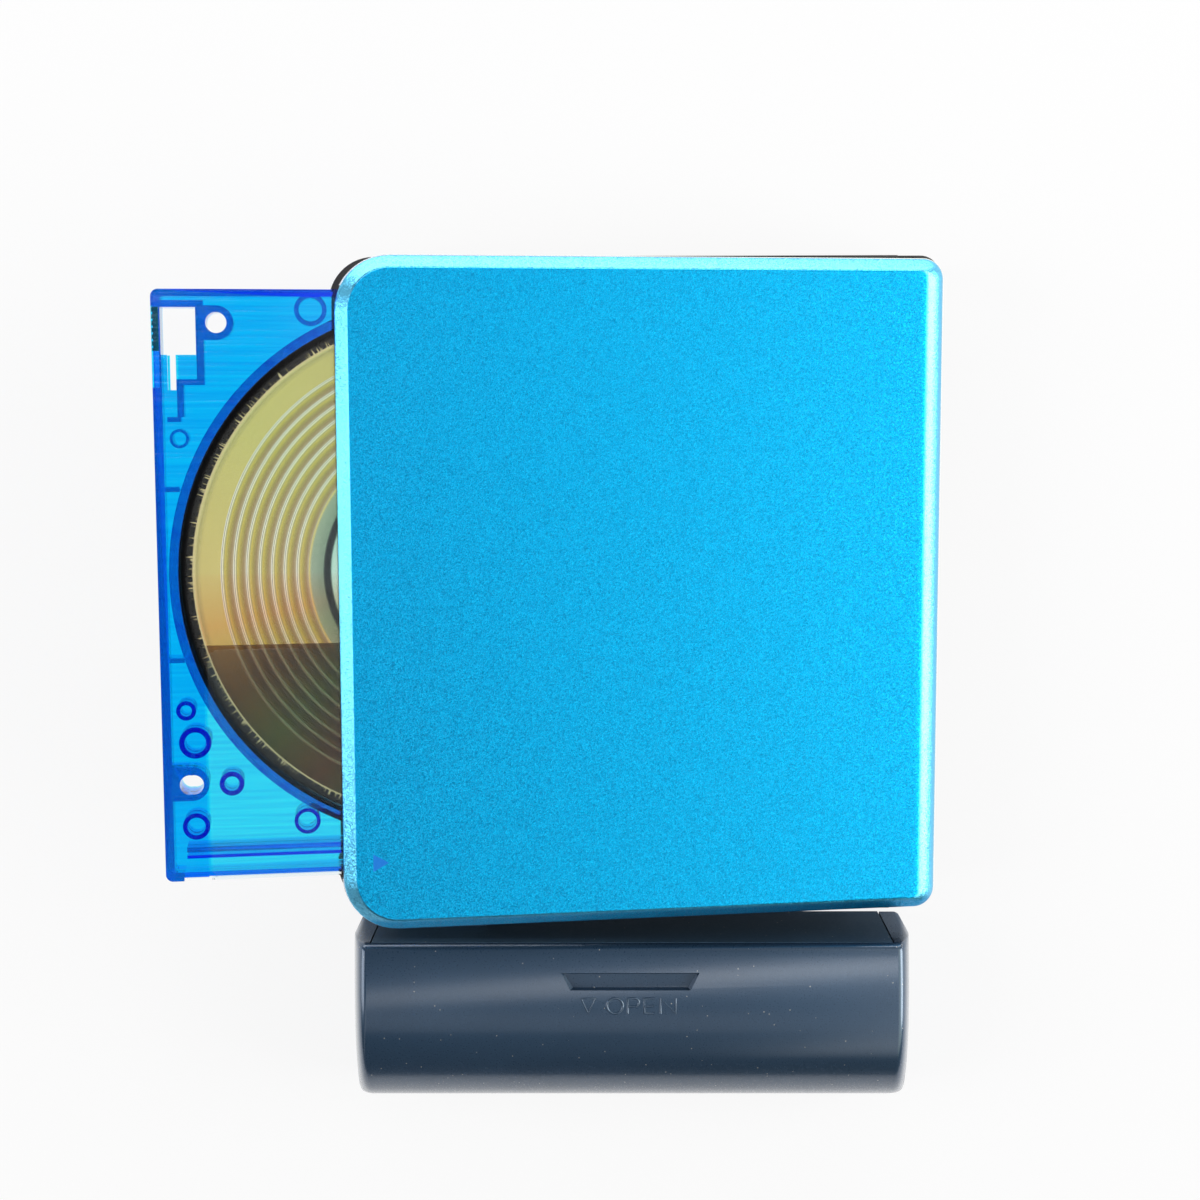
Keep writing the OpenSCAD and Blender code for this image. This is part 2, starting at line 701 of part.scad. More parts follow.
module spindle_shaft() {
  color("silver") rod_z(spindle_x, spindle_y, 3, 9.8, 0.75);
}

module pickup_sled() {
  color("#3a3d42") difference() {
    union() {
      box(spindle_x - 7, spindle_x + 7, sled_y - 6, sled_y + 6, 3.4, 8.5);
      for (s = [-1, 1])
        box(spindle_x + s * 9.1 - 2.4, spindle_x + s * 9.1 + 2.4, sled_y - 4, sled_y + 4, 3.5, 6.5);
      box(spindle_x + 11, screw_x, sled_y - 2.4, sled_y + 2.4, 3.8, 6.2);
    }
    for (s = [-1, 1]) rod_y(spindle_x + s * rod_dx, sled_y - 10, sled_y + 10, drive_z, rod_r + 0.06);
    rod_y(screw_x, sled_y - 10, sled_y + 10, drive_z, 1.3);
    rod_z(spindle_x, sled_y, 7.4, 9, 3);
  }
}

module pickup_lens() {
  color("#7c9fd0") {
    rod_z(spindle_x, sled_y, 7.4, 8.3, 2.9);
    rod_z(spindle_x, sled_y, 8.3, 8.75, 2);
  }
}

module lead_screw() {
  color("silver") {
    rod_y(screw_x, -37.8, -5.6, drive_z, 0.6);
    translate([screw_x, -7, drive_z]) rotate([90, 0, 0])
      linear_extrude(thread_len, twist = -thread_len / screw_pitch * 360,
                     slices = thread_len / screw_pitch * 12, $fn = 8)
        translate([0.15, 0]) circle(1.02);
    gear_y_axis(screw_x, 16, 0, 0);
  }
}

module idler_gear() {
  color("#e6e2d6") gear_y_axis(idler_x, 16, 180 / 16, 0.55);
}

module motor_pinion() {
  color("#c9a24a") {
    gear_y_axis(motor_x, 8, 0, 0);
    rod_y(motor_x, gear_y + gear_w, -25, drive_z, 0.5);
  }
}

// Controls

// A key that shows through the side wall, held by a wider flange inside it
module push_key(at) {
  w = at[1] / 2;
  h = button_h / 2;
  box(at[0] - w, at[0] + w, by - wall - 0.2, by + button_proud, button_z - h, button_z + h);
  box(at[0] - w - 0.5, at[0] + w + 0.5, 39.85, by - wall - play, button_z - h - 0.4, button_z + h + 0.4);
}

module stop_button() {
  color("#c3c8cc") push_key(stop_at);
}

module play_button() {
  color("#c3c8cc") push_key(play_at);
}

module previous_button() {
  color("#c3c8cc") push_key(previous_at);
}

module next_button() {
  color("#c3c8cc") push_key(next_at);
}

module volume_down_button() {
  color("#c3c8cc") push_key(volume_down_at);
}

module volume_up_button() {
  color("#c3c8cc") push_key(volume_up_at);
}

// A ribbed thumb knob that runs in a slot of the side wall
module side_slider(x, w) {
  difference() {
    box(x - w / 2, x + w / 2, by - wall - 0.2, by + button_proud, button_z - 1.3, button_z + 1.3);
    for (i = [-2 : 2])
      box(x + i * w / 6 - 0.12, x + i * w / 6 + 0.12, by - 0.15, by + 1, button_z - 2, button_z + 2);
  }
  box(x - w / 2 - 0.9, x + w / 2 + 0.9, 40, by - wall - play, button_z - 1.8, button_z + 1.8);
}

module hold_slider() {
  color("#c3c8cc") side_slider(hold_x, 3);
}

module open_slider() {
  color("#c3c8cc") {
    side_slider(open_x, 5.6);
    box(open_x - 4.05, open_x - 2.6, 38.5, 40.1, 10.5, 11.2);
    box(open_x - 3.4, open_x - 2.2, 38.5, 40.1, 9.2, 12.2);
  }
}

module battery_door() {
  px = bx - 0.5;
  py = bay_y0 - 0.4;
  color("#4a4744") {
    difference() {
      box(bx - 1, bx, py, bay_y1 - 0.2, 1.35, 7.25);
      box(bx - 0.4, bx + 1, bay_y1 - 2.2, bay_y1 - 1.2, 2.6, 6);
    }
    rod_z(px, py, 1.35, 7.25, 0.5);
    rod_z(px, py, 1, 7.6, 0.35);
    box(34.2, bx - 1, 30, 32, 3, 5);
  }
}

// Battery case

// The dome's section: a quarter ellipse in front, a gentle slope to the rear edge
crest_y = -56.5;
arc_z = 6;
function dome(i) = concat(
  [for (a = [270 : -15 : 180]) [cover_y + (2.4 - i) * cos(a), cover_z + (2.4 - i) * sin(a)]],
  [for (a = [0 : 5 : 90])
    [crest_y - (crest_y - case_y0 - i) * cos(a), arc_z + (case_h - arc_z - i) * sin(a)]],
  [for (t = [0.125 : 0.125 : 1]) [crest_y + t * (case_y1 - crest_y), case_h - i - 1.8 * t * t]]);

module dome_solid(i, x0, x1, rear, low) {
  translate([x0, 0, 0]) rotate([90, 0, 90]) linear_extrude(x1 - x0)
    polygon(concat(dome(i), [[rear, case_h - i - 1.8], [rear, low]]));
}

module case_cover() {
  color("#27384f") {
    difference() {
      intersection() {
        dome_solid(0, case_x0, case_x1, case_y1, 0.2);
        slab(case_x0, case_x1, case_y0 - 1, case_y1, 0, 20, 2.8, 2.8);
      }
      intersection() {
        dome_solid(cover_t, case_x0 + cover_t, case_x1 - cover_t, case_y1 + 1, -2);
        slab(case_x0 + cover_t, case_x1 - cover_t, case_y0, case_y1 - cover_t, -1, 20, 1.7, 1.7);
      }
      box(case_x0 + 2.9, case_x1 - 2.9, case_y1 - 3, case_y1 + 1, -1, 15.1);
      box(case_x0 + cover_t + 0.8, case_x1 - cover_t - 0.8, case_y0 - 1, case_y0 + 12, -1, cover_z);
      translate([-9.6, 0, 16.2]) linear_extrude(3)
        polygon([[0, -49.9], [18, -49.9], [16.6, -52], [1.4, -52]]);
    }
    difference() {
      union() {
        rod_x(tray_x0 + 2.2, tray_x1 - 2.2, cover_y, cover_z, cover_r);
        box(tray_x0 + 2.2, tray_x1 - 2.2, case_y0 + 0.6, cover_y, cover_z, cover_z + cover_r);
      }
      rod_x(tray_x0, tray_x1, cover_y, cover_z, 0.56);
    }
  }
}

module case_tray() {
  color("#1f2c3e") {
    difference() {
      union() {
        box(tray_x0, tray_x1, -65.6, case_y1, 0, 1.2);
        box(tray_x0, tray_x1, case_y1 - 1.1, case_y1, 0, 15);
        box(tray_x0, tray_x0 + 1.1, aa_y - 4, case_y1, 0, 12);
        box(tray_x1 - 1.1, tray_x1, aa_y - 4, case_y1, 0, 12);
        box(plug_x - 6, plug_x + 6, case_y1, -by, plug_z - 2.3, plug_z + 2.3);
        box(plug_x + 4.9, plug_x + 5.5, aa_y - 5, case_y1, 0, 12);
        for (x = [-8, 12]) box(x, x + 1.2, aa_y - 6, case_y1, 0, aa_z - 2);
      }
      rod_y(plug_x, case_y1 - 2, -by + 1, plug_z, 1.1);
      for (s = [-1, 1]) rod_y(plug_x + s * pin_dx, case_y1 - 1, -by + 1, plug_z, 0.9);
      rod_x(aa_x0 - 0.1, aa_x0 + aa_len + 2, aa_y, aa_z, aa_r + 0.1);
      box(plug_x - wheel_r - 0.3, plug_x + wheel_r + 0.3, case_y1 - 5.4, case_y1 - 1.9, -1, 1.3);
    }
    difference() {
      for (x = [tray_x0, tray_x1 - 2]) {
        rod_x(x, x + 2, cover_y, cover_z, 1);
        box(x, x + 2, cover_y, -65, 0.6, cover_z);
      }
      rod_x(tray_x0 - 1, tray_x1 + 1, cover_y, cover_z, 0.5);
    }
  }
}

module case_cover_pin() {
  color("silver") rod_x(tray_x0, tray_x1, cover_y, cover_z, 0.5);
}

module aa_cell() {
  color("#a8adb3") {
    rod_x(aa_x0, aa_x0 + aa_len, aa_y, aa_z, aa_r);
    rod_x(aa_x0 - 1, aa_x0, aa_y, aa_z, 2.7);
  }
}

module cell_spring() {
  color("silver") {
    box(tray_x1 - 1.5, tray_x1 - 1.1, aa_y - 4, aa_y + 4, 2, 12);
    rod_x(aa_x0 + aa_len, tray_x1 - 1.5, aa_y, aa_z, 2.6);
  }
}

module cell_plate() {
  color("#c9a24a") box(aa_x0 - 1.4, aa_x0 - 1, aa_y - 4.5, aa_y + 4.5, 1.2, 12);
}

module plug_pins() {
  color("#c9a24a") for (s = [-1, 1]) rod_y(plug_x + s * pin_dx, case_y1 - 1, -39.2, plug_z, 0.9);
}

module thumb_screw() {
  color("#3b4450") {
    translate([plug_x, case_y1 - 2.1, plug_z]) rotate([90, 0, 0]) linear_extrude(3)
      polygon([for (i = [0 : 71]) (wheel_r - 0.25 * (i % 2)) * [cos(i * 5), sin(i * 5)]]);
    rod_y(plug_x, case_y1 - 2.1, -38.8, plug_z, 1);
  }
}

bottom_case();
side_frame();
chassis_plate();
circuit_board();
board_chips();
spindle_motor();
guide_rods();
sled_motor();
idler_pin();
headphone_jack();
battery_contacts();
terminal_block();
hinge_pins();
hinge_springs();
case_screws();
chassis_screws();
switch_board();
rechargeable_battery();
lid_cover();
lid_trim();
lid_liner();
hinge_arms();
lid_catch();
disc_holder();
holder_screws();
eject_slider();
cartridge_top_shell();
cartridge_bottom_shell();
cartridge_windows();
write_protect_tab();
cartridge_shutter();
disc();
disc_hub();
turntable();
spindle_shaft();
pickup_sled();
pickup_lens();
lead_screw();
idler_gear();
motor_pinion();
stop_button();
play_button();
previous_button();
next_button();
volume_down_button();
volume_up_button();
hold_slider();
open_slider();
battery_door();
case_tray();
case_cover();
case_cover_pin();
aa_cell();
cell_spring();
cell_plate();
plug_pins();
thumb_screw();
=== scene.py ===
"""Looks of a small disc player: popped blue lid, half ejected cartridge, clip-on battery case."""

import math

import bmesh
import bpy
from mathutils import Matrix, Vector


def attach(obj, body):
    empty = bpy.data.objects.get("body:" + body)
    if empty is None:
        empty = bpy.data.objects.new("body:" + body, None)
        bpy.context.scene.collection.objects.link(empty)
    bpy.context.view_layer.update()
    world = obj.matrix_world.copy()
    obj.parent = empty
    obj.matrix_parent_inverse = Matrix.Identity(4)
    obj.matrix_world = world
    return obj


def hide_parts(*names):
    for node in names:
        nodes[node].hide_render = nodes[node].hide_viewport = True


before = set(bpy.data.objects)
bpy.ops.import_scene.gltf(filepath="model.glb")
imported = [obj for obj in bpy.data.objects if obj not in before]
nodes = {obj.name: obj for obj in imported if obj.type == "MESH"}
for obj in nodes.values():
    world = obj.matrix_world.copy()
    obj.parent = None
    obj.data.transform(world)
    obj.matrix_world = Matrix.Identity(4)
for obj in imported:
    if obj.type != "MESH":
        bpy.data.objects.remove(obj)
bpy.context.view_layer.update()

# View, floor and light
# The player lies on a white table and is seen from almost straight above, a
# quarter of a metre away. Soft boxes stand left, right and beyond it.

scene = bpy.context.scene
scene.view_settings.view_transform = "Standard"

SENSOR_MM = 36
FOCAL_PX = 1921
PHOTO_PX = 1200
camera = bpy.data.objects.new("camera", bpy.data.cameras.new("camera"))
camera.data.sensor_width = SENSOR_MM
camera.data.lens = SENSOR_MM * FOCAL_PX / PHOTO_PX
camera.data.clip_start = 0.01
camera.data.clip_end = 20
camera.location = (-0.0026, 0.0250, 0.2593)
camera.rotation_euler = (math.radians(-6.17), math.radians(0.41), math.radians(-0.16))
scene.collection.objects.link(camera)
scene.camera = camera


def put(tree, kind, inputs=None, **settings):
    """Adds a node; an input given a socket is linked to it, any other value is set."""
    n = tree.nodes.new(kind)
    for key, value in settings.items():
        setattr(n, key, value)
    for key, value in (inputs or {}).items():
        if isinstance(value, bpy.types.NodeSocket):
            tree.links.new(value, n.inputs[key])
        else:
            n.inputs[key].default_value = value
    return n


def sum_of(tree, kind, *terms):
    """Joins values with one Math operation after another."""
    total = terms[0]
    for term in terms[1:]:
        total = put(tree, "ShaderNodeMath", {0: total, 1: term}, operation=kind).outputs[0]
    return total


def ease(tree, value, low, high, start=0.0, end=1.0):
    """A smooth step from start to end while the value goes from low to high."""
    inputs = {"Value": value, "From Min": low, "From Max": high, "To Min": start, "To Max": end}
    return put(tree, "ShaderNodeMapRange", inputs, interpolation_type="SMOOTHSTEP").outputs[0]


# The room: dim walls, a bright panel up to the right, and overhead a slanting lamp and two faint patches.
world = bpy.data.worlds.new("studio")
world.use_nodes = True
scene.world = world
sky = world.node_tree
sky.nodes.clear()
way = put(sky, "ShaderNodeSeparateXYZ", {0: put(sky, "ShaderNodeTexCoord").outputs["Generated"]})
up = put(sky, "ShaderNodeMath", {0: way.outputs[2], 1: 0.02}, operation="MAXIMUM").outputs[0]
right = put(sky, "ShaderNodeMath", {0: way.outputs[0], 1: up}, operation="DIVIDE").outputs[0]
far = put(sky, "ShaderNodeMath", {0: way.outputs[1], 1: up}, operation="DIVIDE").outputs[0]
panel = sum_of(sky, "MULTIPLY", ease(sky, right, 0.11, 0.19), ease(sky, right, 0.20, 0.50, 1.0, 1.6),
               ease(sky, right, 0.15, 0.30, 1.5, 1.05),
               ease(sky, far, -2.2, -0.9), ease(sky, far, 1.6, 0.7))
faint = sum_of(sky, "MULTIPLY", ease(sky, right, 0.0, 0.08), ease(sky, right, 0.5, 0.3),
               ease(sky, far, -0.15, -0.05), ease(sky, far, 0.45, 0.3), 0.18)
slant = put(sky, "ShaderNodeMath", {0: right, 1: -1.1, 2: far}, operation="MULTIPLY_ADD").outputs[0]
slanting = sum_of(sky, "MULTIPLY", ease(sky, right, -0.18, 0.15, 1.5, 4.0), ease(sky, right, 0.30, 0.17),
                  ease(sky, slant, -0.09, 0.04), ease(sky, slant, 0.18, 0.08))
patch = sum_of(sky, "MULTIPLY", ease(sky, far, -0.66, -0.42), ease(sky, far, -0.14, -0.27),
               ease(sky, right, 0.14, 0.07), ease(sky, right, -0.5, -0.3), 0.45)
walls = ease(sky, way.outputs[1], 0.3, 0.9, 0.07, 0.4)
room = sum_of(sky, "MAXIMUM", walls, panel, faint, slanting, patch)
path = put(sky, "ShaderNodeLightPath")
warmth = put(sky, "ShaderNodeMixRGB",
             {0: ease(sky, right, 0.22, 0.48), 1: (1, 1, 1, 1), 2: (1.0, 1.05, 0.86, 1)})
tinted = put(sky, "ShaderNodeVectorMath", {0: warmth.outputs[0], "Scale": room}, operation="SCALE").outputs[0]
lit = put(sky, "ShaderNodeMixRGB", {0: path.outputs["Is Glossy Ray"], 1: (0.28, 0.28, 0.28, 1), 2: tinted})
seen = sum_of(sky, "MAXIMUM", path.outputs["Is Camera Ray"], path.outputs["Is Transmission Ray"])
level = put(sky, "ShaderNodeMixRGB", {0: seen, 1: lit.outputs[0], 2: (1, 1, 1, 1)})
back = put(sky, "ShaderNodeBackground", {"Color": level.outputs[0], "Strength": 1.0})
sky.links.new(back.outputs[0], put(sky, "ShaderNodeOutputWorld").inputs["Surface"])

# The table shows white; in gloss its near side is as dark as the room behind the camera.
table = bpy.data.materials.new("white_table")
table.use_nodes = True
tree = table.node_tree
tree.nodes.clear()
white = put(tree, "ShaderNodeEmission", {"Color": (1, 1, 1, 1), "Strength": 1.0})
path = put(tree, "ShaderNodeLightPath")
spot = put(tree, "ShaderNodeSeparateXYZ", {0: put(tree, "ShaderNodeNewGeometry").outputs["Position"]})
aside = put(tree, "ShaderNodeMath", {0: spot.outputs[0]}, operation="ABSOLUTE").outputs[0]
ahead = spot.outputs[1]
# Painted shade: in gloss, the table under the battery case and in its gap to the player is painted dark
# blue-grey and gives no white.
open_side = sum_of(tree, "MAXIMUM", ease(tree, aside, 0.037, 0.041), ease(tree, ahead, -0.042, -0.038),
                   ease(tree, ahead, -0.070, -0.072))
gloss = sum_of(tree, "MULTIPLY", path.outputs["Is Glossy Ray"], ease(tree, ahead, -0.088, -0.062), open_side)
shaded = put(tree, "ShaderNodeMath", {0: path.outputs["Is Glossy Ray"], 1: open_side}, operation="SUBTRACT",
             use_clamp=True)
table_tone_with_painted_shade = put(tree, "ShaderNodeMixRGB",
           {0: shaded.outputs[0], 1: (0.93, 0.93, 0.93, 1), 2: (0.30, 0.36, 0.44, 1)})
matt = put(tree, "ShaderNodeBsdfDiffuse", {"Color": table_tone_with_painted_shade.outputs[0]})
seen = sum_of(tree, "MAXIMUM", path.outputs["Is Camera Ray"], path.outputs["Is Transmission Ray"], gloss)
share = put(tree, "ShaderNodeMath", {0: seen, 1: 0.86}, operation="MULTIPLY")
both = put(tree, "ShaderNodeMixShader", {0: share.outputs[0], 1: matt.outputs[0], 2: white.outputs[0]})
tree.links.new(both.outputs[0], put(tree, "ShaderNodeOutputMaterial").inputs["Surface"])

FLOOR_HALF = 4
FLOOR_Z = -0.0002
corners = [(x * FLOOR_HALF, y * FLOOR_HALF, FLOOR_Z) for x, y in ((-1, -1), (1, -1), (1, 1), (-1, 1))]
floor_mesh = bpy.data.meshes.new("floor")
floor_mesh.from_pydata(corners, [], [(0, 1, 2, 3)])
floor_mesh.materials.append(table)
floor = bpy.data.objects.new("floor", floor_mesh)
scene.collection.objects.link(floor)


def soft_box(name, place, target, width, height, watts):
    """A rectangular lamp that faces the target and isn't seen itself."""
    data = bpy.data.lights.new(name, "AREA")
    data.shape = "RECTANGLE"
    data.size, data.size_y, data.energy = width, height, watts
    lamp = bpy.data.objects.new(name, data)
    lamp.location = place
    lamp.rotation_euler = (Vector(target) - Vector(place)).to_track_quat("-Z", "Y").to_euler()
    lamp.visible_camera = False
    scene.collection.objects.link(lamp)


soft_box("right_side", (0.55, 0.0, 0.27), (0, 0, 0.01), width=0.50, height=0.50, watts=1.5)
soft_box("right_strip", (0.50, 0.0, 0.24), (0, 0, 0.01), width=0.50, height=0.20, watts=1.3)
soft_box("left_side", (-0.50, 0.0, 0.30), (0, 0, 0.02), width=0.35, height=0.50, watts=1.7)
soft_box("far_side", (0.0, 0.34, 0.07), (0, 0, 0.02), width=0.70, height=0.14, watts=1.2)

# Bottom case
# The base is a pressed metal tray with a satin dark grey-brown coat. Four
# cross-head screws come up through it, and the cell door is cut in one side.

MM = 0.001


def material(name):
    """A material with its Principled shader; returns it, its tree and the shader."""
    m = bpy.data.materials.new(name)
    m.use_nodes = True
    t = m.node_tree
    return m, t, t.nodes["Principled BSDF"]


def feed(n, **values):
    """Sets or links a node's inputs, named with underscores."""
    t = n.id_data
    for key, value in values.items():
        socket = n.inputs[key.replace("_", " ")]
        if isinstance(value, bpy.types.NodeSocket):
            t.links.new(value, socket)
        else:
            socket.default_value = value


def group(name, inputs, outputs):
    """An empty node group with named sockets; returns it, its input node and its output node."""
    g = bpy.data.node_groups.new(name, "ShaderNodeTree")
    for label, kind, value in inputs:
        s = g.interface.new_socket(label, in_out="INPUT", socket_type=kind)
        if value is not None:
            s.default_value = value
    for label, kind in outputs:
        g.interface.new_socket(label, in_out="OUTPUT", socket_type=kind)
    return g, g.nodes.new("NodeGroupInput"), g.nodes.new("NodeGroupOutput")


def use(tree, g, **values):
    """Places a group in a material with its own values."""
    n = put(tree, "ShaderNodeGroup", node_tree=g)
    feed(n, **values)
    return n


# Fine grain of a moulded or painted skin: a fine mask, a wide cloud and a bumped normal.
NUMBER = "NodeSocketFloat"
DIRECTION = "NodeSocketVector"
CLOUD_SCALE = 60
grain, g_in, g_out = group("fine_grain", [("Scale", NUMBER, 2500), ("Depth", NUMBER, 0.00001)],
                           [("Mask", NUMBER), ("Cloud", NUMBER), ("Normal", DIRECTION)])
where = put(grain, "ShaderNodeTexCoord").outputs["Object"]
fine = put(grain, "ShaderNodeTexNoise", {"Vector": where, "Scale": g_in.outputs["Scale"], "Detail": 3.0,
                                         "Roughness": 0.6})
cloud = put(grain, "ShaderNodeTexNoise", {"Vector": where, "Scale": CLOUD_SCALE, "Detail": 4.0})
bump = put(grain, "ShaderNodeBump",
           {"Strength": 1.0, "Distance": g_in.outputs["Depth"], "Height": fine.outputs[0]})
grain.links.new(fine.outputs[0], g_out.inputs["Mask"])
grain.links.new(cloud.outputs[0], g_out.inputs["Cloud"])
grain.links.new(bump.outputs[0], g_out.inputs["Normal"])

# Sparse specks of lint and dust that lie on a surface.
dust, d_in, d_out = group("dust_specks",
                          [("Scale", NUMBER, 1500), ("Size", NUMBER, 0.11), ("Share", NUMBER, 0.1)],
                          [("Mask", NUMBER)])
where = put(dust, "ShaderNodeTexCoord").outputs["Object"]
cells = put(dust, "ShaderNodeTexVoronoi", {"Vector": where, "Scale": d_in.outputs["Scale"]})
close = put(dust, "ShaderNodeMath", {0: cells.outputs["Distance"], 1: d_in.outputs["Size"]},
            operation="LESS_THAN")
tone = put(dust, "ShaderNodeSeparateColor", {"Color": cells.outputs["Color"]})
some = put(dust, "ShaderNodeMath", {0: tone.outputs[0], 1: d_in.outputs["Share"]}, operation="LESS_THAN")
speck = put(dust, "ShaderNodeMath", {0: close.outputs[0], 1: some.outputs[0]}, operation="MULTIPLY")
dust.links.new(speck.outputs[0], d_out.inputs["Mask"])


def blend_colour(tree, factor, a, b, mode="MIX"):
    """Mixes, adds or multiplies two colours by a factor."""
    n = put(tree, "ShaderNodeMixRGB", {0: factor, 1: a, 2: b}, blend_type=mode)
    return n.outputs[0]


def span(tree, value, low, high):
    """Maps a 0 to 1 value to a range."""
    return put(tree, "ShaderNodeMapRange", {"Value": value, "To Min": low, "To Max": high}).outputs[0]


def skin(name, colour, second, rough=(0.4, 0.55), metallic=0.0, coat=0.0, coat_rough=0.1, scale=2500,
         depth=0.00001, specks=0.0, ior=1.5):
    """A moulded, painted or plated finish: two close tones, grain in its gloss and a little dust."""
    m, t, shader = material(name)
    g = use(t, grain, Scale=scale, Depth=depth)
    mixed = put(t, "ShaderNodeMath", {0: g.outputs["Mask"], 1: g.outputs["Cloud"]}, operation="MULTIPLY")
    wide = put(t, "ShaderNodeMath", {0: mixed.outputs[0], 1: 3.0}, operation="MULTIPLY", use_clamp=True)
    colour_out = blend_colour(t, wide.outputs[0], (*colour, 1), (*second, 1))
    rough_out = span(t, g.outputs["Mask"], *rough)
    if specks:
        d = use(t, dust, Share=specks)
        colour_out = blend_colour(t, d.outputs["Mask"], colour_out, (0.6, 0.58, 0.55, 1))
    feed(shader, Base_Color=colour_out, Roughness=rough_out, Metallic=metallic, Normal=g.outputs["Normal"],
         Coat_Weight=coat, Coat_Roughness=coat_rough, IOR=ior)
    return m


def dress(name, m):
    """Gives a CAD node its finish."""
    node = nodes[name]
    node.data.materials.clear()
    node.data.materials.append(m)


case_paint = skin("satin_case_paint", (0.085, 0.078, 0.074), (0.055, 0.050, 0.048), rough=(0.38, 0.52),
                  metallic=0.25, specks=0.03)
dress("bottom_case", case_paint)
dress("battery_door", case_paint)
zinc = skin("zinc_plate", (0.52, 0.53, 0.54), (0.40, 0.41, 0.43), rough=(0.25, 0.4), metallic=1.0, scale=4000)
for name in ("case_screws", "chassis_screws", "holder_screws"):
    dress(name, zinc)

# Side frame and keys
# A matt moulded band closes the sides; the six push keys, the hold knob and
# the opening knob are silver painted mouldings that show through it.

frame_plastic = skin("matt_frame_moulding", (0.062, 0.056, 0.057), (0.046, 0.042, 0.043), rough=(0.5, 0.65),
                     scale=3200, depth=0.000015, specks=0.03)
dress("side_frame", frame_plastic)
key_paint = skin("silver_key_paint", (0.56, 0.58, 0.60), (0.45, 0.47, 0.49), rough=(0.28, 0.42),
                 metallic=0.55, coat=0.3, scale=5000, depth=0.000006)
KEYS = ("stop_button", "play_button", "previous_button", "next_button", "volume_down_button",
        "volume_up_button", "hold_slider", "open_slider")
for name in KEYS:
    dress(name, key_paint)

# Boards, cell and sockets
# A green board lies on the case floor with its chips; the switch board stands
# behind the keys, and the flat rechargeable cell fills a bay along one side.

board_lacquer = skin("green_board_lacquer", (0.010, 0.105, 0.045), (0.006, 0.07, 0.03), rough=(0.25, 0.4),
                     coat=0.4, scale=1500)
dress("circuit_board", board_lacquer)
dress("switch_board", board_lacquer)
dress("board_chips", skin("chip_epoxy", (0.016, 0.016, 0.017), (0.028, 0.028, 0.03), rough=(0.45, 0.6)))
gold_flash = skin("gold_flashed_brass", (0.80, 0.56, 0.22), (0.66, 0.44, 0.16), rough=(0.2, 0.35),
                  metallic=1.0)
for name in ("battery_contacts", "cell_plate", "plug_pins"):
    dress(name, gold_flash)
socket_plastic = skin("socket_moulding", (0.018, 0.018, 0.020), (0.03, 0.03, 0.032), rough=(0.25, 0.4))
dress("headphone_jack", socket_plastic)
dress("terminal_block", socket_plastic)
can = skin("printed_cell_can", (0.55, 0.57, 0.60), (0.44, 0.46, 0.49), rough=(0.25, 0.4), metallic=0.7,
           coat=0.5)
dress("rechargeable_battery", can)

# Chassis and disc drive
# A plated steel plate carries the spindle motor, the two guide rods, the lead
# screw with its gears, and the pickup sled that runs on them.

plated = skin("plated_sheet_steel", (0.60, 0.61, 0.62), (0.48, 0.49, 0.50), rough=(0.22, 0.38), metallic=1.0,
              scale=1800)
for name in ("chassis_plate", "spindle_motor", "sled_motor", "turntable", "hinge_arms", "disc_holder"):
    dress(name, plated)
ground = skin("ground_steel", (0.72, 0.73, 0.74), (0.60, 0.61, 0.62), rough=(0.12, 0.25), metallic=1.0,
              scale=6000)
for name in ("guide_rods", "idler_pin", "spindle_shaft", "lead_screw", "hinge_pins", "hinge_springs",
             "case_cover_pin", "cell_spring"):
    dress(name, ground)
resin = skin("filled_resin", (0.035, 0.037, 0.042), (0.055, 0.058, 0.064), rough=(0.45, 0.62), scale=3500)
dress("pickup_sled", resin)
acetal = skin("natural_acetal", (0.80, 0.78, 0.72), (0.70, 0.68, 0.62), rough=(0.35, 0.5))
dress("idler_gear", acetal)
dress("eject_slider", acetal)
dress("motor_pinion", gold_flash)

# Lid
# A thin aluminium pressing with a metallic blue coat: three bevelled sides, a
# rolled edge on the hinge side. A bright trim frame and a black liner back it.

LID_ANGLE = math.radians(8.9)
HINGE = Vector((34 * MM, 0, 9 * MM))
popped = Matrix.Translation(HINGE) @ Matrix.Rotation(LID_ANGLE, 4, "Y") @ Matrix.Translation(-HINGE)

# The shut lid in millimetres: half sizes, heights, corner radii, walls, rolled edge, bevel and mouth.
LID_X, LID_Y = 38.05, 41.5
LID_FOOT, LID_TOP, INSIDE_TOP = 14.4, 17.0, 16.1
LEFT_R, RIGHT_R = 6.8, 2.5
INNER_LEFT_R, INNER_RIGHT_R = 5.9, 1
WALL, HINGE_WALL = 0.9, 1.7
ROLL_WIDTH, ROLL_HEIGHT = 3.4, 2.6
BEVEL_FOOT, BEVEL_WIDTH = 15.5, 1.6
FOOT_SOFT, RIM_SOFT = 0.16, 0.12
MOUTH_Y0, MOUTH_Y1, MOUTH_TOP = -35.1, 37.9, 14.9


def loop(x0, x1, y0, y1, left_r, right_r, steps=10):
    """A rounded rectangle's points, anticlockwise, in millimetres."""
    points = []
    corners = ((x1 - right_r, y0 + right_r, right_r, -90), (x1 - right_r, y1 - right_r, right_r, 0),
               (x0 + left_r, y1 - left_r, left_r, 90), (x0 + left_r, y0 + left_r, left_r, 180))
    for cx, cy, r, start in corners:
        for i in range(steps + 1):
            a = math.radians(start + 90 * i / steps)
            points.append((cx + r * math.cos(a), cy + r * math.sin(a)))
    return points


def tidy(mesh):
    """Joins doubled corners and turns the faces outward."""
    b = bmesh.new()
    b.from_mesh(mesh)
    bmesh.ops.remove_doubles(b, verts=b.verts, dist=1e-7)
    bmesh.ops.recalc_face_normals(b, faces=b.faces)
    b.to_mesh(mesh)
    b.free()


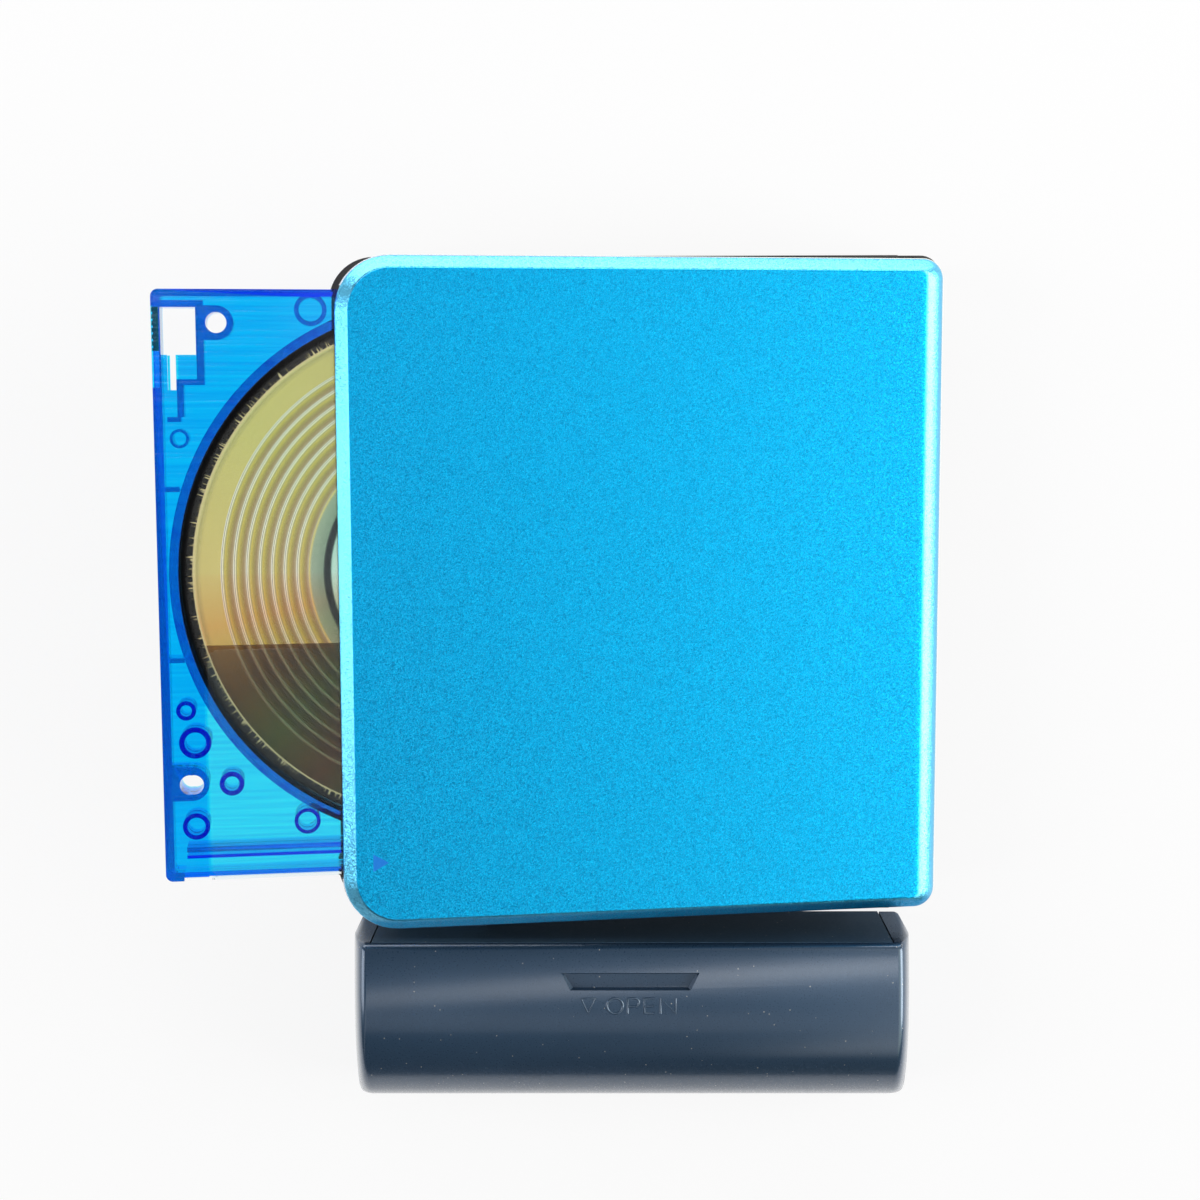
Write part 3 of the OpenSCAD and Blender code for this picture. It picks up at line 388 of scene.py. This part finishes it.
def loft(name, rings):
    """A closed mesh through rings of equally many points, given in millimetres."""
    mesh = bpy.data.meshes.new(name)
    n = len(rings[0])
    verts = [Vector(p) * MM for ring in rings for p in ring]
    faces = [(i * n + j, i * n + (j + 1) % n, (i + 1) * n + (j + 1) % n, (i + 1) * n + j)
             for i in range(len(rings) - 1) for j in range(n)]
    faces.append(tuple(reversed(range(n))))
    faces.append(tuple(range((len(rings) - 1) * n, len(rings) * n)))
    mesh.from_pydata(verts, [], faces)
    tidy(mesh)
    return mesh


def piece(name, mesh, m, body, slot, *replaced, turn=None, smooth=35):
    """Finishes a mesh as a piece: outward faces, its own finish, on its body."""
    if turn is not None:
        mesh.transform(turn)
    tidy(mesh)
    mesh.shade_smooth()
    mesh.set_sharp_from_angle(angle=math.radians(smooth))
    mesh.materials.clear()
    mesh.materials.append(m)
    obj = bpy.data.objects.new(name, mesh)
    scene.collection.objects.link(obj)
    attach(obj, body)
    if replaced:
        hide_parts(*replaced)


def cut(mesh, tools):
    """Cuts closed tool meshes out of a mesh."""
    obj = bpy.data.objects.new("blank", mesh)
    scene.collection.objects.link(obj)
    helpers = []
    for tool in tools:
        helper = bpy.data.objects.new("cutter", tool)
        scene.collection.objects.link(helper)
        helpers.append(helper)
        mod = obj.modifiers.new("cut", "BOOLEAN")
        mod.operation = "DIFFERENCE"
        mod.object = helper
        mod.solver = "EXACT"
    result = bpy.data.meshes.new_from_object(obj.evaluated_get(bpy.context.evaluated_depsgraph_get()))
    for o in [obj, *helpers]:
        bpy.data.objects.remove(o)
    return result


def block(x0, x1, y0, y1, z0, z1):
    """A plain cutting block in millimetres."""
    ring = [(x0, y0), (x1, y0), (x1, y1), (x0, y1)]
    return loft("block", [[(x, y, z) for x, y in ring] for z in (z0, z1)])


def rolled(z):
    """How far the hinge side's edge has rolled in at a height."""
    return ROLL_WIDTH * (1 - math.sqrt(max(0.0, 1 - ((z - LID_FOOT) / ROLL_HEIGHT) ** 2)))


def stepped(z):
    """How far the bevelled sides step in at a height: a 45 degree bevel with soft arrises."""
    risen = z - BEVEL_FOOT
    if risen <= -FOOT_SOFT:
        return 0.0
    if risen < FOOT_SOFT:
        return (risen + FOOT_SOFT) ** 2 / (4 * FOOT_SOFT)
    below_top = LID_TOP - z
    if below_top < RIM_SOFT:
        return BEVEL_WIDTH - (0.1 + 0.6 * below_top) * below_top / RIM_SOFT * 0.9
    return risen


def lid_ring(z, inset=0.0, roll=None):
    """The lid's outline at a height, drawn in by an inset; roll sets the hinge side on its own."""
    step = stepped(z) + inset
    side = rolled(z) + inset if roll is None else roll
    left_r, right_r = max(LEFT_R - step, 0.5), max(RIGHT_R - step, 0.6)
    xy = loop(-LID_X + step, LID_X - side, -LID_Y + step, LID_Y - step, left_r, right_r)
    return [(x, y, z) for x, y in xy]


def inside_ring(z):
    """The outline of the lid's hollow at a height."""
    xy = loop(-LID_X + WALL, LID_X - HINGE_WALL, -LID_Y + WALL, LID_Y - WALL, INNER_LEFT_R, INNER_RIGHT_R)
    return [(x, y, z) for x, y in xy]


HEIGHTS = (14.46, 14.9, 15.2, 15.34, 15.42, 15.5, 15.58, 15.66, 15.9, 16.2, 16.4, 16.6, 16.75, 16.84,
           16.88, 16.92, 16.95, 16.975, 16.99, 17.0)
rings = [inside_ring(INSIDE_TOP), inside_ring(LID_FOOT), lid_ring(LID_FOOT, inset=0.06)]
rings += [lid_ring(z) for z in HEIGHTS]
rings.append(lid_ring(LID_TOP, inset=0.2, roll=3.8))
cover = loft("lid_cover_skin", rings)
cover = cut(cover, [block(-LID_X - 1, -LID_X + 1.9, MOUTH_Y0, MOUTH_Y1, 13, MOUTH_TOP)])

# Aluminium flakes under a clear coat: each flake has its own tone and tilt.
flakes, f_in, f_out = group("paint_flakes", [("Scale", NUMBER, 5200), ("Tilt", NUMBER, 0.25)],
                            [("Tone", NUMBER), ("Normal", DIRECTION)])
where = put(flakes, "ShaderNodeTexCoord").outputs["Object"]
cell = put(flakes, "ShaderNodeTexVoronoi", {"Vector": where, "Scale": f_in.outputs["Scale"]})
centred = put(flakes, "ShaderNodeVectorMath", {0: cell.outputs["Color"], 1: (0.5, 0.5, 0.5)},
              operation="SUBTRACT")
tilted = put(flakes, "ShaderNodeVectorMath", {0: centred.outputs[0], "Scale": f_in.outputs["Tilt"]},
             operation="SCALE")
face = put(flakes, "ShaderNodeNewGeometry").outputs["Normal"]
lean = put(flakes, "ShaderNodeVectorMath", {0: face, 1: tilted.outputs[0]}, operation="ADD")
unit = put(flakes, "ShaderNodeVectorMath", {0: lean.outputs[0]}, operation="NORMALIZE")
soft = put(flakes, "ShaderNodeTexNoise", {"Vector": where, "Scale": f_in.outputs["Scale"], "Detail": 1.0})
flakes.links.new(soft.outputs[0], f_out.inputs["Tone"])
flakes.links.new(unit.outputs[0], f_out.inputs["Normal"])


def lid_frame(t, origin):
    """A place in the popped lid's own directions, in metres from an origin."""
    where = put(t, "ShaderNodeTexCoord").outputs["Object"]
    inputs = {"Vector": where, "Location": origin, "Rotation": (0, LID_ANGLE, 0)}
    return put(t, "ShaderNodeMapping", inputs, vector_type="TEXTURE").outputs[0]


# Painted highlight: the bevels and the rolled edge are painted paler, except along the near side, standing in
# for the bright reflections they catch.
blue_paint, t, shader = material("metallic_blue_coat")
f = use(t, flakes, Scale=9000, Tilt=0.26)
tone = put(t, "ShaderNodeMapRange", {"Value": f.outputs["Tone"], "From Min": 0.3, "From Max": 0.7})
blue = blend_colour(t, tone.outputs[0], (0.0, 0.25, 0.56, 1), (0.001, 0.375, 0.73, 1))
place = put(t, "ShaderNodeSeparateXYZ", {0: lid_frame(t, HINGE)})
low_edge = ease(t, place.outputs[2], 6.3 * MM, 6.6 * MM)
high_edge = ease(t, place.outputs[2], 7.98 * MM, 7.90 * MM)
not_near = ease(t, place.outputs[1], -40.6 * MM, -39.6 * MM)
painted_bevel_highlight = sum_of(t, "MULTIPLY", low_edge, high_edge, not_near)
blue = blend_colour(t, painted_bevel_highlight, blue, (0.13, 0.58, 0.88, 1))
feed(shader, Base_Color=blue, Metallic=0.95, Roughness=0.32, Normal=f.outputs["Normal"], Coat_Weight=0.1,
     Coat_Roughness=0.08)
piece("lid_cover_skin", cover, blue_paint, "lid", "lid_blue", "lid_cover", turn=popped)

arrow_ink = skin("blue_print", (0.0, 0.23, 0.80), (0.0, 0.20, 0.74), rough=(0.35, 0.45))
arrow = [(-34.41, -31.56), (-34.43, -33.75), (-32.51, -32.66)]
ARROW_Z = (16.98, 17.012)
arrow_mesh = loft("loading_arrow", [[(x, y, z) for x, y in arrow] for z in ARROW_Z])
piece("loading_arrow", arrow_mesh, arrow_ink, "lid", "lid_blue", turn=popped)

bright = skin("bright_anodised_edge", (0.82, 0.86, 0.90), (0.72, 0.77, 0.82), rough=(0.15, 0.25),
              metallic=0.8)
dress("lid_trim", bright)
liner = skin("matt_liner", (0.03, 0.032, 0.035), (0.045, 0.047, 0.05), rough=(0.5, 0.65))
dress("lid_liner", liner)
dress("lid_catch", liner)

# Disc and its cartridge
# A translucent blue polycarbonate case, two half shells with moulded ribs,
# rings and a round wall, clear windows, a clear sliding shutter and the disc.

CART_X, CART_Y = -59.65, 37.4
DISC_R = 32.0
CLEAR_ROUGH = (0.02, 0.06)
in_cart = popped @ Matrix.Translation((CART_X * MM, CART_Y * MM, 0))


def clear_plastic(name, tint, per_mm, ior=1.5, shine=0.5, streaks=0.0):
    """Clear moulding; per_mm is what it absorbs of red, green and blue, streaks are fine lines along X."""
    m, t, shader = material(name)
    g = use(t, grain, Scale=900, Depth=0.000002)
    normal = g.outputs["Normal"]
    if streaks:
        where = put(t, "ShaderNodeTexCoord").outputs["Object"]
        drawn = put(t, "ShaderNodeMapping", {"Vector": where, "Scale": (60, 2600, 60)}).outputs[0]
        lines = put(t, "ShaderNodeTexNoise", {"Vector": drawn, "Scale": 1.0, "Detail": 2.0}).outputs[0]
        normal = put(t, "ShaderNodeBump", {"Strength": 1.0, "Distance": streaks, "Height": lines,
                                           "Normal": normal}).outputs[0]
        paler = put(t, "ShaderNodeMapRange", {"Value": lines, "From Min": 0.35, "From Max": 0.65})
        tint = blend_colour(t, paler.outputs[0], (0.80, 0.88, 0.97, 1), tint)
    feed(shader, Base_Color=tint, Roughness=span(t, g.outputs["Cloud"], *CLEAR_ROUGH), IOR=ior,
         Specular_IOR_Level=shine, Transmission_Weight=1.0, Normal=normal)
    if per_mm:
        lost = max(per_mm)
        body = put(t, "ShaderNodeVolumeAbsorption", {"Color": (*(1 - v / lost for v in per_mm), 1),
                                                     "Density": 1000.0 * lost})
        t.links.new(body.outputs[0], t.nodes["Material Output"].inputs["Volume"])
    return m


blue_shell = clear_plastic("translucent_blue_polycarbonate", (1, 1, 1, 1), (9.0, 0.54, 0.006), ior=1.3,
                           shine=0.05, streaks=0.000025)
dress("cartridge_top_shell", blue_shell)
dress("cartridge_bottom_shell", blue_shell)
window = clear_plastic("clear_window", (0.96, 0.98, 0.98, 1), None, ior=1.3, shine=0.25)
disc_centre = in_cart @ Vector((35 * MM, -34.4 * MM, 12.1 * MM))


def from_disc_centre(t):
    """A place in the disc's own frame, and its distance from the centre in millimetres."""
    xyz = put(t, "ShaderNodeSeparateXYZ", {0: lid_frame(t, disc_centre)})
    plane = put(t, "ShaderNodeCombineXYZ", {0: xyz.outputs[0], 1: xyz.outputs[1]})
    metres = put(t, "ShaderNodeVectorMath", {0: plane.outputs[0]}, operation="LENGTH").outputs["Value"]
    return plane.outputs[0], put(t, "ShaderNodeMath", {0: metres, 1: 1000.0}, operation="MULTIPLY").outputs[0]


# Painted shade: beyond the disc's edge the windows are painted dark, standing in for the shaded gap round the
# disc.
t = window.node_tree
beyond = put(t, "ShaderNodeMapRange",
             {"Value": from_disc_centre(t)[1], "From Min": 31.6, "From Max": DISC_R}).outputs[0]
window_painted_gap_shade = blend_colour(t, beyond, (0.96, 0.98, 0.98, 1), (0.03, 0.035, 0.04, 1))
feed(t.nodes["Principled BSDF"], Base_Color=window_painted_gap_shade)
dress("cartridge_windows", window)
shutter_clear = clear_plastic("clear_shutter", (0.90, 0.97, 0.99, 1), None, ior=1.12, shine=0.1)
dress("cartridge_shutter", shutter_clear)
dress("write_protect_tab", skin("tab_moulding", (0.05, 0.05, 0.055), (0.07, 0.07, 0.075)))


def ramp(tree, factor, stops):
    """A colour that runs through stops, each a place from 0 to 1 and its colour."""
    n = put(tree, "ShaderNodeValToRGB", {0: factor})
    elements = n.color_ramp.elements
    while len(elements) < len(stops):
        elements.new(0.5)
    for element, (place, colour) in zip(elements, stops):
        element.position = place
        element.color = (*colour, 1)
    return n.outputs[0]


# The disc: repeating rings between two radii, plain zones elsewhere, and a painted sheen over both, dark
# below a straight edge.
RINGS_FROM, RINGS_TO, RING_PITCH = 17.0, 27.65, 1.52
ZONES = ((0.0, (0.42, 0.462, 0.462)), (12.6, (0.42, 0.588, 0.588)), (13.0, (0.028, 0.07, 0.084)),
         (13.2, (0.63, 0.868, 0.84)), (14.2, (0.49, 0.77, 0.728)), (14.3, (0.017, 0.031, 0.039)),
         (15.1, (0.017, 0.031, 0.039)), (15.2, (0.238, 0.336, 0.28)), (16.7, (0.35, 0.448, 0.364)),
         (16.9, (0.7, 0.602, 0.266)), (29.9, (0.644, 0.56, 0.238)), (30.5, (0.504, 0.448, 0.21)),
         (30.9, (0.77, 0.686, 0.378)), (DISC_R, (0.7, 0.63, 0.35)))
gold, t, shader = material("coated_disc")
plane, radius = from_disc_centre(t)
xyz = put(t, "ShaderNodeSeparateXYZ", {0: plane})
angle = put(t, "ShaderNodeMath", {0: xyz.outputs[1], 1: xyz.outputs[0]}, operation="ARCTAN2").outputs[0]
spoke = put(t, "ShaderNodeVectorMath", {0: plane}, operation="NORMALIZE").outputs[0]
phase = put(t, "ShaderNodeMath", {0: RINGS_TO, 1: radius}, operation="SUBTRACT").outputs[0]
phase = put(t, "ShaderNodeMath", {0: phase, 1: RING_PITCH}, operation="DIVIDE").outputs[0]
phase = put(t, "ShaderNodeMath", {0: phase}, operation="FRACT").outputs[0]
rings_colour = ramp(t, phase, [
    (0.0, (0.54, 0.472, 0.351)), (0.03, (0.97, 0.97, 0.945)), (0.10, (0.27, 0.243, 0.203)),
    (0.15, (0.97, 0.945, 0.837)), (0.24, (0.486, 0.459, 0.257)), (0.36, (0.621, 0.527, 0.149)),
    (0.6, (0.419, 0.351, 0.135)), (0.8, (0.392, 0.284, 0.162)), (1.0, (0.54, 0.472, 0.351))])
zone = put(t, "ShaderNodeMapRange", {"Value": radius, "From Min": 0.0, "From Max": DISC_R}).outputs[0]
zones = ramp(t, zone, [(r / DISC_R, zone_colour) for r, zone_colour in ZONES])
inner = put(t, "ShaderNodeMath", {0: radius, 1: RINGS_FROM}, operation="GREATER_THAN").outputs[0]
outer = put(t, "ShaderNodeMath", {0: radius, 1: RINGS_TO}, operation="LESS_THAN").outputs[0]
ringed = put(t, "ShaderNodeMath", {0: inner, 1: outer}, operation="MULTIPLY").outputs[0]
colour = blend_colour(t, ringed, zones, rings_colour)
turn = put(t, "ShaderNodeMapRange", {"Value": angle, "From Min": -math.pi, "From Max": math.pi}).outputs[0]
sheen = ramp(t, turn, [
    (0.0, (1.0, 0.92, 0.80)), (0.035, (0.97, 0.68, 0.50)), (0.06, (0.80, 0.68, 0.46)),
    (0.10, (0.80, 0.60, 0.42)), (0.30, (0.8, 0.75, 0.6)), (0.34, (0.9, 0.85, 0.7)),
    (0.7, (0.85, 0.9, 0.7)), (0.9, (0.88, 1.0, 0.80)), (1.0, (1.0, 0.96, 0.84))])
painted_dim_reflection = ramp(t, turn, [
    (0.0, (0.40, 0.20, 0.10)), (0.05, (0.30, 0.15, 0.08)), (0.08, (0.16, 0.08, 0.04)),
    (0.12, (0.09, 0.11, 0.05)), (0.16, (0.12, 0.05, 0.03)), (0.20, (0.05, 0.12, 0.06)),
    (0.25, (0.11, 0.10, 0.07)), (0.32, (0.2, 0.2, 0.14)), (1.0, (0.4, 0.2, 0.1))])
# Painted reflection: below this edge the disc is painted dark with dim rainbow tones, standing in for a
# dimmer room mirrored there; thin ring glints are painted back on.
SHEEN_EDGE = -8.7 * MM
below = ease(t, xyz.outputs[1], SHEEN_EDGE + 0.04 * MM, SHEEN_EDGE - 0.04 * MM)
colour = blend_colour(t, 1.0, colour, blend_colour(t, below, sheen, painted_dim_reflection), "MULTIPLY")
glints = ramp(t, phase, [
    (0.0, (0.0, 0.0, 0.0)), (0.04, (0.20, 0.14, 0.07)), (0.09, (0.01, 0.01, 0.01)),
    (0.14, (0.12, 0.15, 0.07)), (0.22, (0.0, 0.0, 0.0)), (1.0, (0.0, 0.0, 0.0))])
low_side = sum_of(t, "MULTIPLY", ringed, below)
colour = blend_colour(t, low_side, colour, glints, "ADD")
rim = sum_of(t, "MULTIPLY", ease(t, radius, 30.75, 30.9), 0.8)
colour = blend_colour(t, rim, colour, (0.62, 0.53, 0.28, 1))
hairs = put(t, "ShaderNodeTexNoise", {"Vector": spoke, "Scale": 150.0, "Detail": 2.0}).outputs[0]
hair_inputs = {"Value": hairs, "From Min": 0.56, "From Max": 0.70, "To Min": 31.0, "To Max": DISC_R}
hair_end = put(t, "ShaderNodeMapRange", hair_inputs).outputs[0]
bare = put(t, "ShaderNodeMath", {0: radius, 1: hair_end}, operation="GREATER_THAN").outputs[0]
colour = blend_colour(t, bare, colour, (0.012, 0.011, 0.010, 1))
g = use(t, grain, Scale=3000, Depth=0.000002)
feed(shader, Base_Color=colour, Metallic=0.9, Roughness=span(t, g.outputs["Mask"], 0.14, 0.22),
     Normal=g.outputs["Normal"])
dress("disc", gold)
hub_steel = skin("pressed_hub_steel", (0.42, 0.44, 0.45), (0.33, 0.35, 0.36), rough=(0.2, 0.35),
                 metallic=1.0)
dress("disc_hub", hub_steel)
lens = clear_plastic("coated_lens", (0.5, 0.6, 0.85, 1), None, ior=1.5)
dress("pickup_lens", lens)

# Battery case
# A dark navy moulding clipped to the player's side: a domed cover on a pin, a
# tray for one AA cell, two plug pins and a knurled thumb screw.

crest_y, arc_z, case_h = -56.5, 3.6, 17.5
case_x0, case_x1, case_y0, case_y1 = -37.5, 36.7, -70.0, -46.3
CASE_FOOT_R, CASE_REAR_R, REAR_DROP = 2.4, 0.95, 1.8
cover_y, cover_z = case_y0 + CASE_FOOT_R, 2.6


def dome(inset, low):
    """The cover's section in Y and Z, drawn in by a margin."""
    points = [(cover_y, low)]
    for k in range(1, 7):
        a = math.radians(270 - 15 * k)
        points.append((cover_y + (CASE_FOOT_R - inset) * math.cos(a),
                       cover_z + (CASE_FOOT_R - inset) * math.sin(a)))
    for k in range(25):
        a = math.radians(90 * k / 24)
        points.append((crest_y - (crest_y - case_y0 - inset) * math.cos(a),
                       arc_z + (case_h - arc_z - inset) * math.sin(a)))
    depth = case_y1 - inset - crest_y
    reach = 1 - CASE_REAR_R / depth
    for k in range(1, 13):
        s = k / 12 * reach
        points.append((crest_y + s * depth, case_h - inset - REAR_DROP * s * s))
    top = points[-1][1]
    lean = math.atan(2 * REAR_DROP * reach / depth)
    soft = CASE_REAR_R / (1 - math.sin(lean))
    for k in range(1, 9):
        a = lean + (math.pi / 2 - lean) * k / 8
        points.append((case_y1 - inset - CASE_REAR_R + soft * (math.sin(a) - math.sin(lean)),
                       top - soft * (math.cos(lean) - math.cos(a))))
    points.append((case_y1 - inset, low))
    return points


def rounding(r, t):
    """How far a rounded corner of radius r has drawn in at a distance t from its side."""
    return r - math.sqrt(max(0.0, r ** 2 - (r - min(t, r)) ** 2))


def case_loft(name, margin, front, back, end, x0, x1, low):
    """The dome from end to end: rounded plan corners, and ends that draw in over its height."""
    sections = []
    shoulder = 5.0
    steps = [end * (1 - math.cos(math.radians(7.5 * k))) for k in range(13)]
    steps += [s for s in (front * 0.93, front) if s > end]
    for x, t in [(x0 + s, s) for s in steps] + [(x1 - s, s) for s in reversed(steps)]:
        rise = max(0.02, math.sqrt(max(0.0, 1 - (1 - min(t, end) / end) ** 2)))
        low_y, high_y = case_y0 + margin + rounding(front, t), case_y1 - margin - rounding(back, t)
        section = []
        for y, z in dome(margin, low):
            height = z if z < shoulder else shoulder + (z - shoulder) * rise
            section.append((x, min(max(y, low_y), high_y), height))
        sections.append(section)
    return loft(name, sections)


outer_case = case_loft("case_cover_skin", margin=0, front=2.8, back=1.0, end=2.4, x0=case_x0, x1=case_x1,
                       low=0.2)
inner_case = case_loft("hollow", margin=1.0, front=1.8, back=0.3, end=1.6, x0=case_x0 + 1, x1=case_x1 - 1,
                       low=-2)
groove = (((-9.2, -50.2), (8.0, -50.2), (6.9, -52.0), (-8.1, -52.0)),
          ((-9.9, -49.6), (8.7, -49.6), (7.25, -52.1), (-8.45, -52.1)))
GROOVE_Z = (16.1, 17.3)
tools = [inner_case, block(case_x0 + 2.9, case_x1 - 2.9, case_y1 - 3, case_y1 + 1, -1, 15.1),
         block(case_x0 + 1.8, case_x1 - 1.8, case_y0 - 1, case_y0 + 12, -1, cover_z),
         loft("groove", [[(x, y, z) for x, y in ring] for ring, z in zip(groove, GROOVE_Z)])]
case_skin = cut(outer_case, tools)
navy = skin("navy_gloss_moulding", (0.036, 0.086, 0.160), (0.024, 0.062, 0.120), rough=(0.22, 0.36),
            metallic=0.42, coat=1.0, coat_rough=0.14, scale=4200, depth=0.000006, specks=0.14, ior=1.6)
piece("case_cover_skin", case_skin, navy, "case_cover", "navy_gloss", "case_cover", smooth=30)


def dome_z(y):
    """The height of the cover's top between its crest and its rear edge."""
    return case_h - REAR_DROP * ((y - crest_y) / (case_y1 - crest_y)) ** 2


# The word OPEN and its arrow stand up from the cover as rounded strokes.
TOP, MID, FOOT = -53.1, -54.15, -55.05
bowl = [(0.55 * math.sin(math.radians(a)), 0.525 * math.cos(math.radians(a))) for a in range(0, 181, 20)]
letter_o = [(-2.615 + 1.04 * math.cos(math.radians(a)), -54.08 + 1.0 * math.sin(math.radians(a)))
            for a in range(0, 360, 15)]
letter_p = [(-0.95, FOOT), (-0.95, TOP)] + [(-0.05 + x, TOP - 0.525 + y) for x, y in bowl] + [(-0.95, MID)]
strokes = [(letter_o, True),
           (letter_p, False),
           ([(2.5, TOP), (1.2, TOP), (1.2, FOOT), (2.55, FOOT)], False),
           ([(1.2, MID + 0.05), (2.4, MID + 0.05)], False),
           ([(3.3, FOOT), (3.3, TOP), (5.27, FOOT), (5.27, TOP)], False),
           ([(-7.0, TOP), (-5.15, TOP), (-6.08, FOOT)], True)]
STROKE_R = 0.15
STROKE_RISE = 0.55
drawing = bpy.data.curves.new("drawing", "CURVE")
drawing.dimensions = "3D"
drawing.bevel_depth = STROKE_R * MM
drawing.bevel_resolution = 3
drawing.use_fill_caps = True
for points, closed in strokes:
    line = drawing.splines.new("POLY")
    line.points.add(len(points) - 1)
    for point, (x, y) in zip(line.points, points):
        point.co = (x * MM, y * MM, 0, 1)
    line.use_cyclic_u = closed
helper = bpy.data.objects.new("helper", drawing)
scene.collection.objects.link(helper)
shape = bpy.data.meshes.new_from_object(helper.evaluated_get(bpy.context.evaluated_depsgraph_get()))
bpy.data.objects.remove(helper)
mark = bmesh.new()
mark.from_mesh(shape)
for v in mark.verts:
    v.co.z = v.co.z * STROKE_RISE + dome_z(v.co.y / MM) * MM
mark_mesh = bpy.data.meshes.new("case_open_mark")
mark.to_mesh(mark_mesh)
mark.free()
piece("case_open_mark", mark_mesh, navy, "case_cover", "navy_gloss", smooth=60)
# Painted light: the tray and the thumb screw take a lighter navy than the cover, standing in for light on the
# tray's shaded rear wall.
navy_painted_lighter = skin("navy_matt_moulding_painted_lighter", (0.045, 0.100, 0.165), (0.036, 0.082, 0.140), rough=(0.4, 0.55),
                  specks=0.1)
dress("case_tray", navy_painted_lighter)
dress("thumb_screw", navy_painted_lighter)
dress("aa_cell", can)
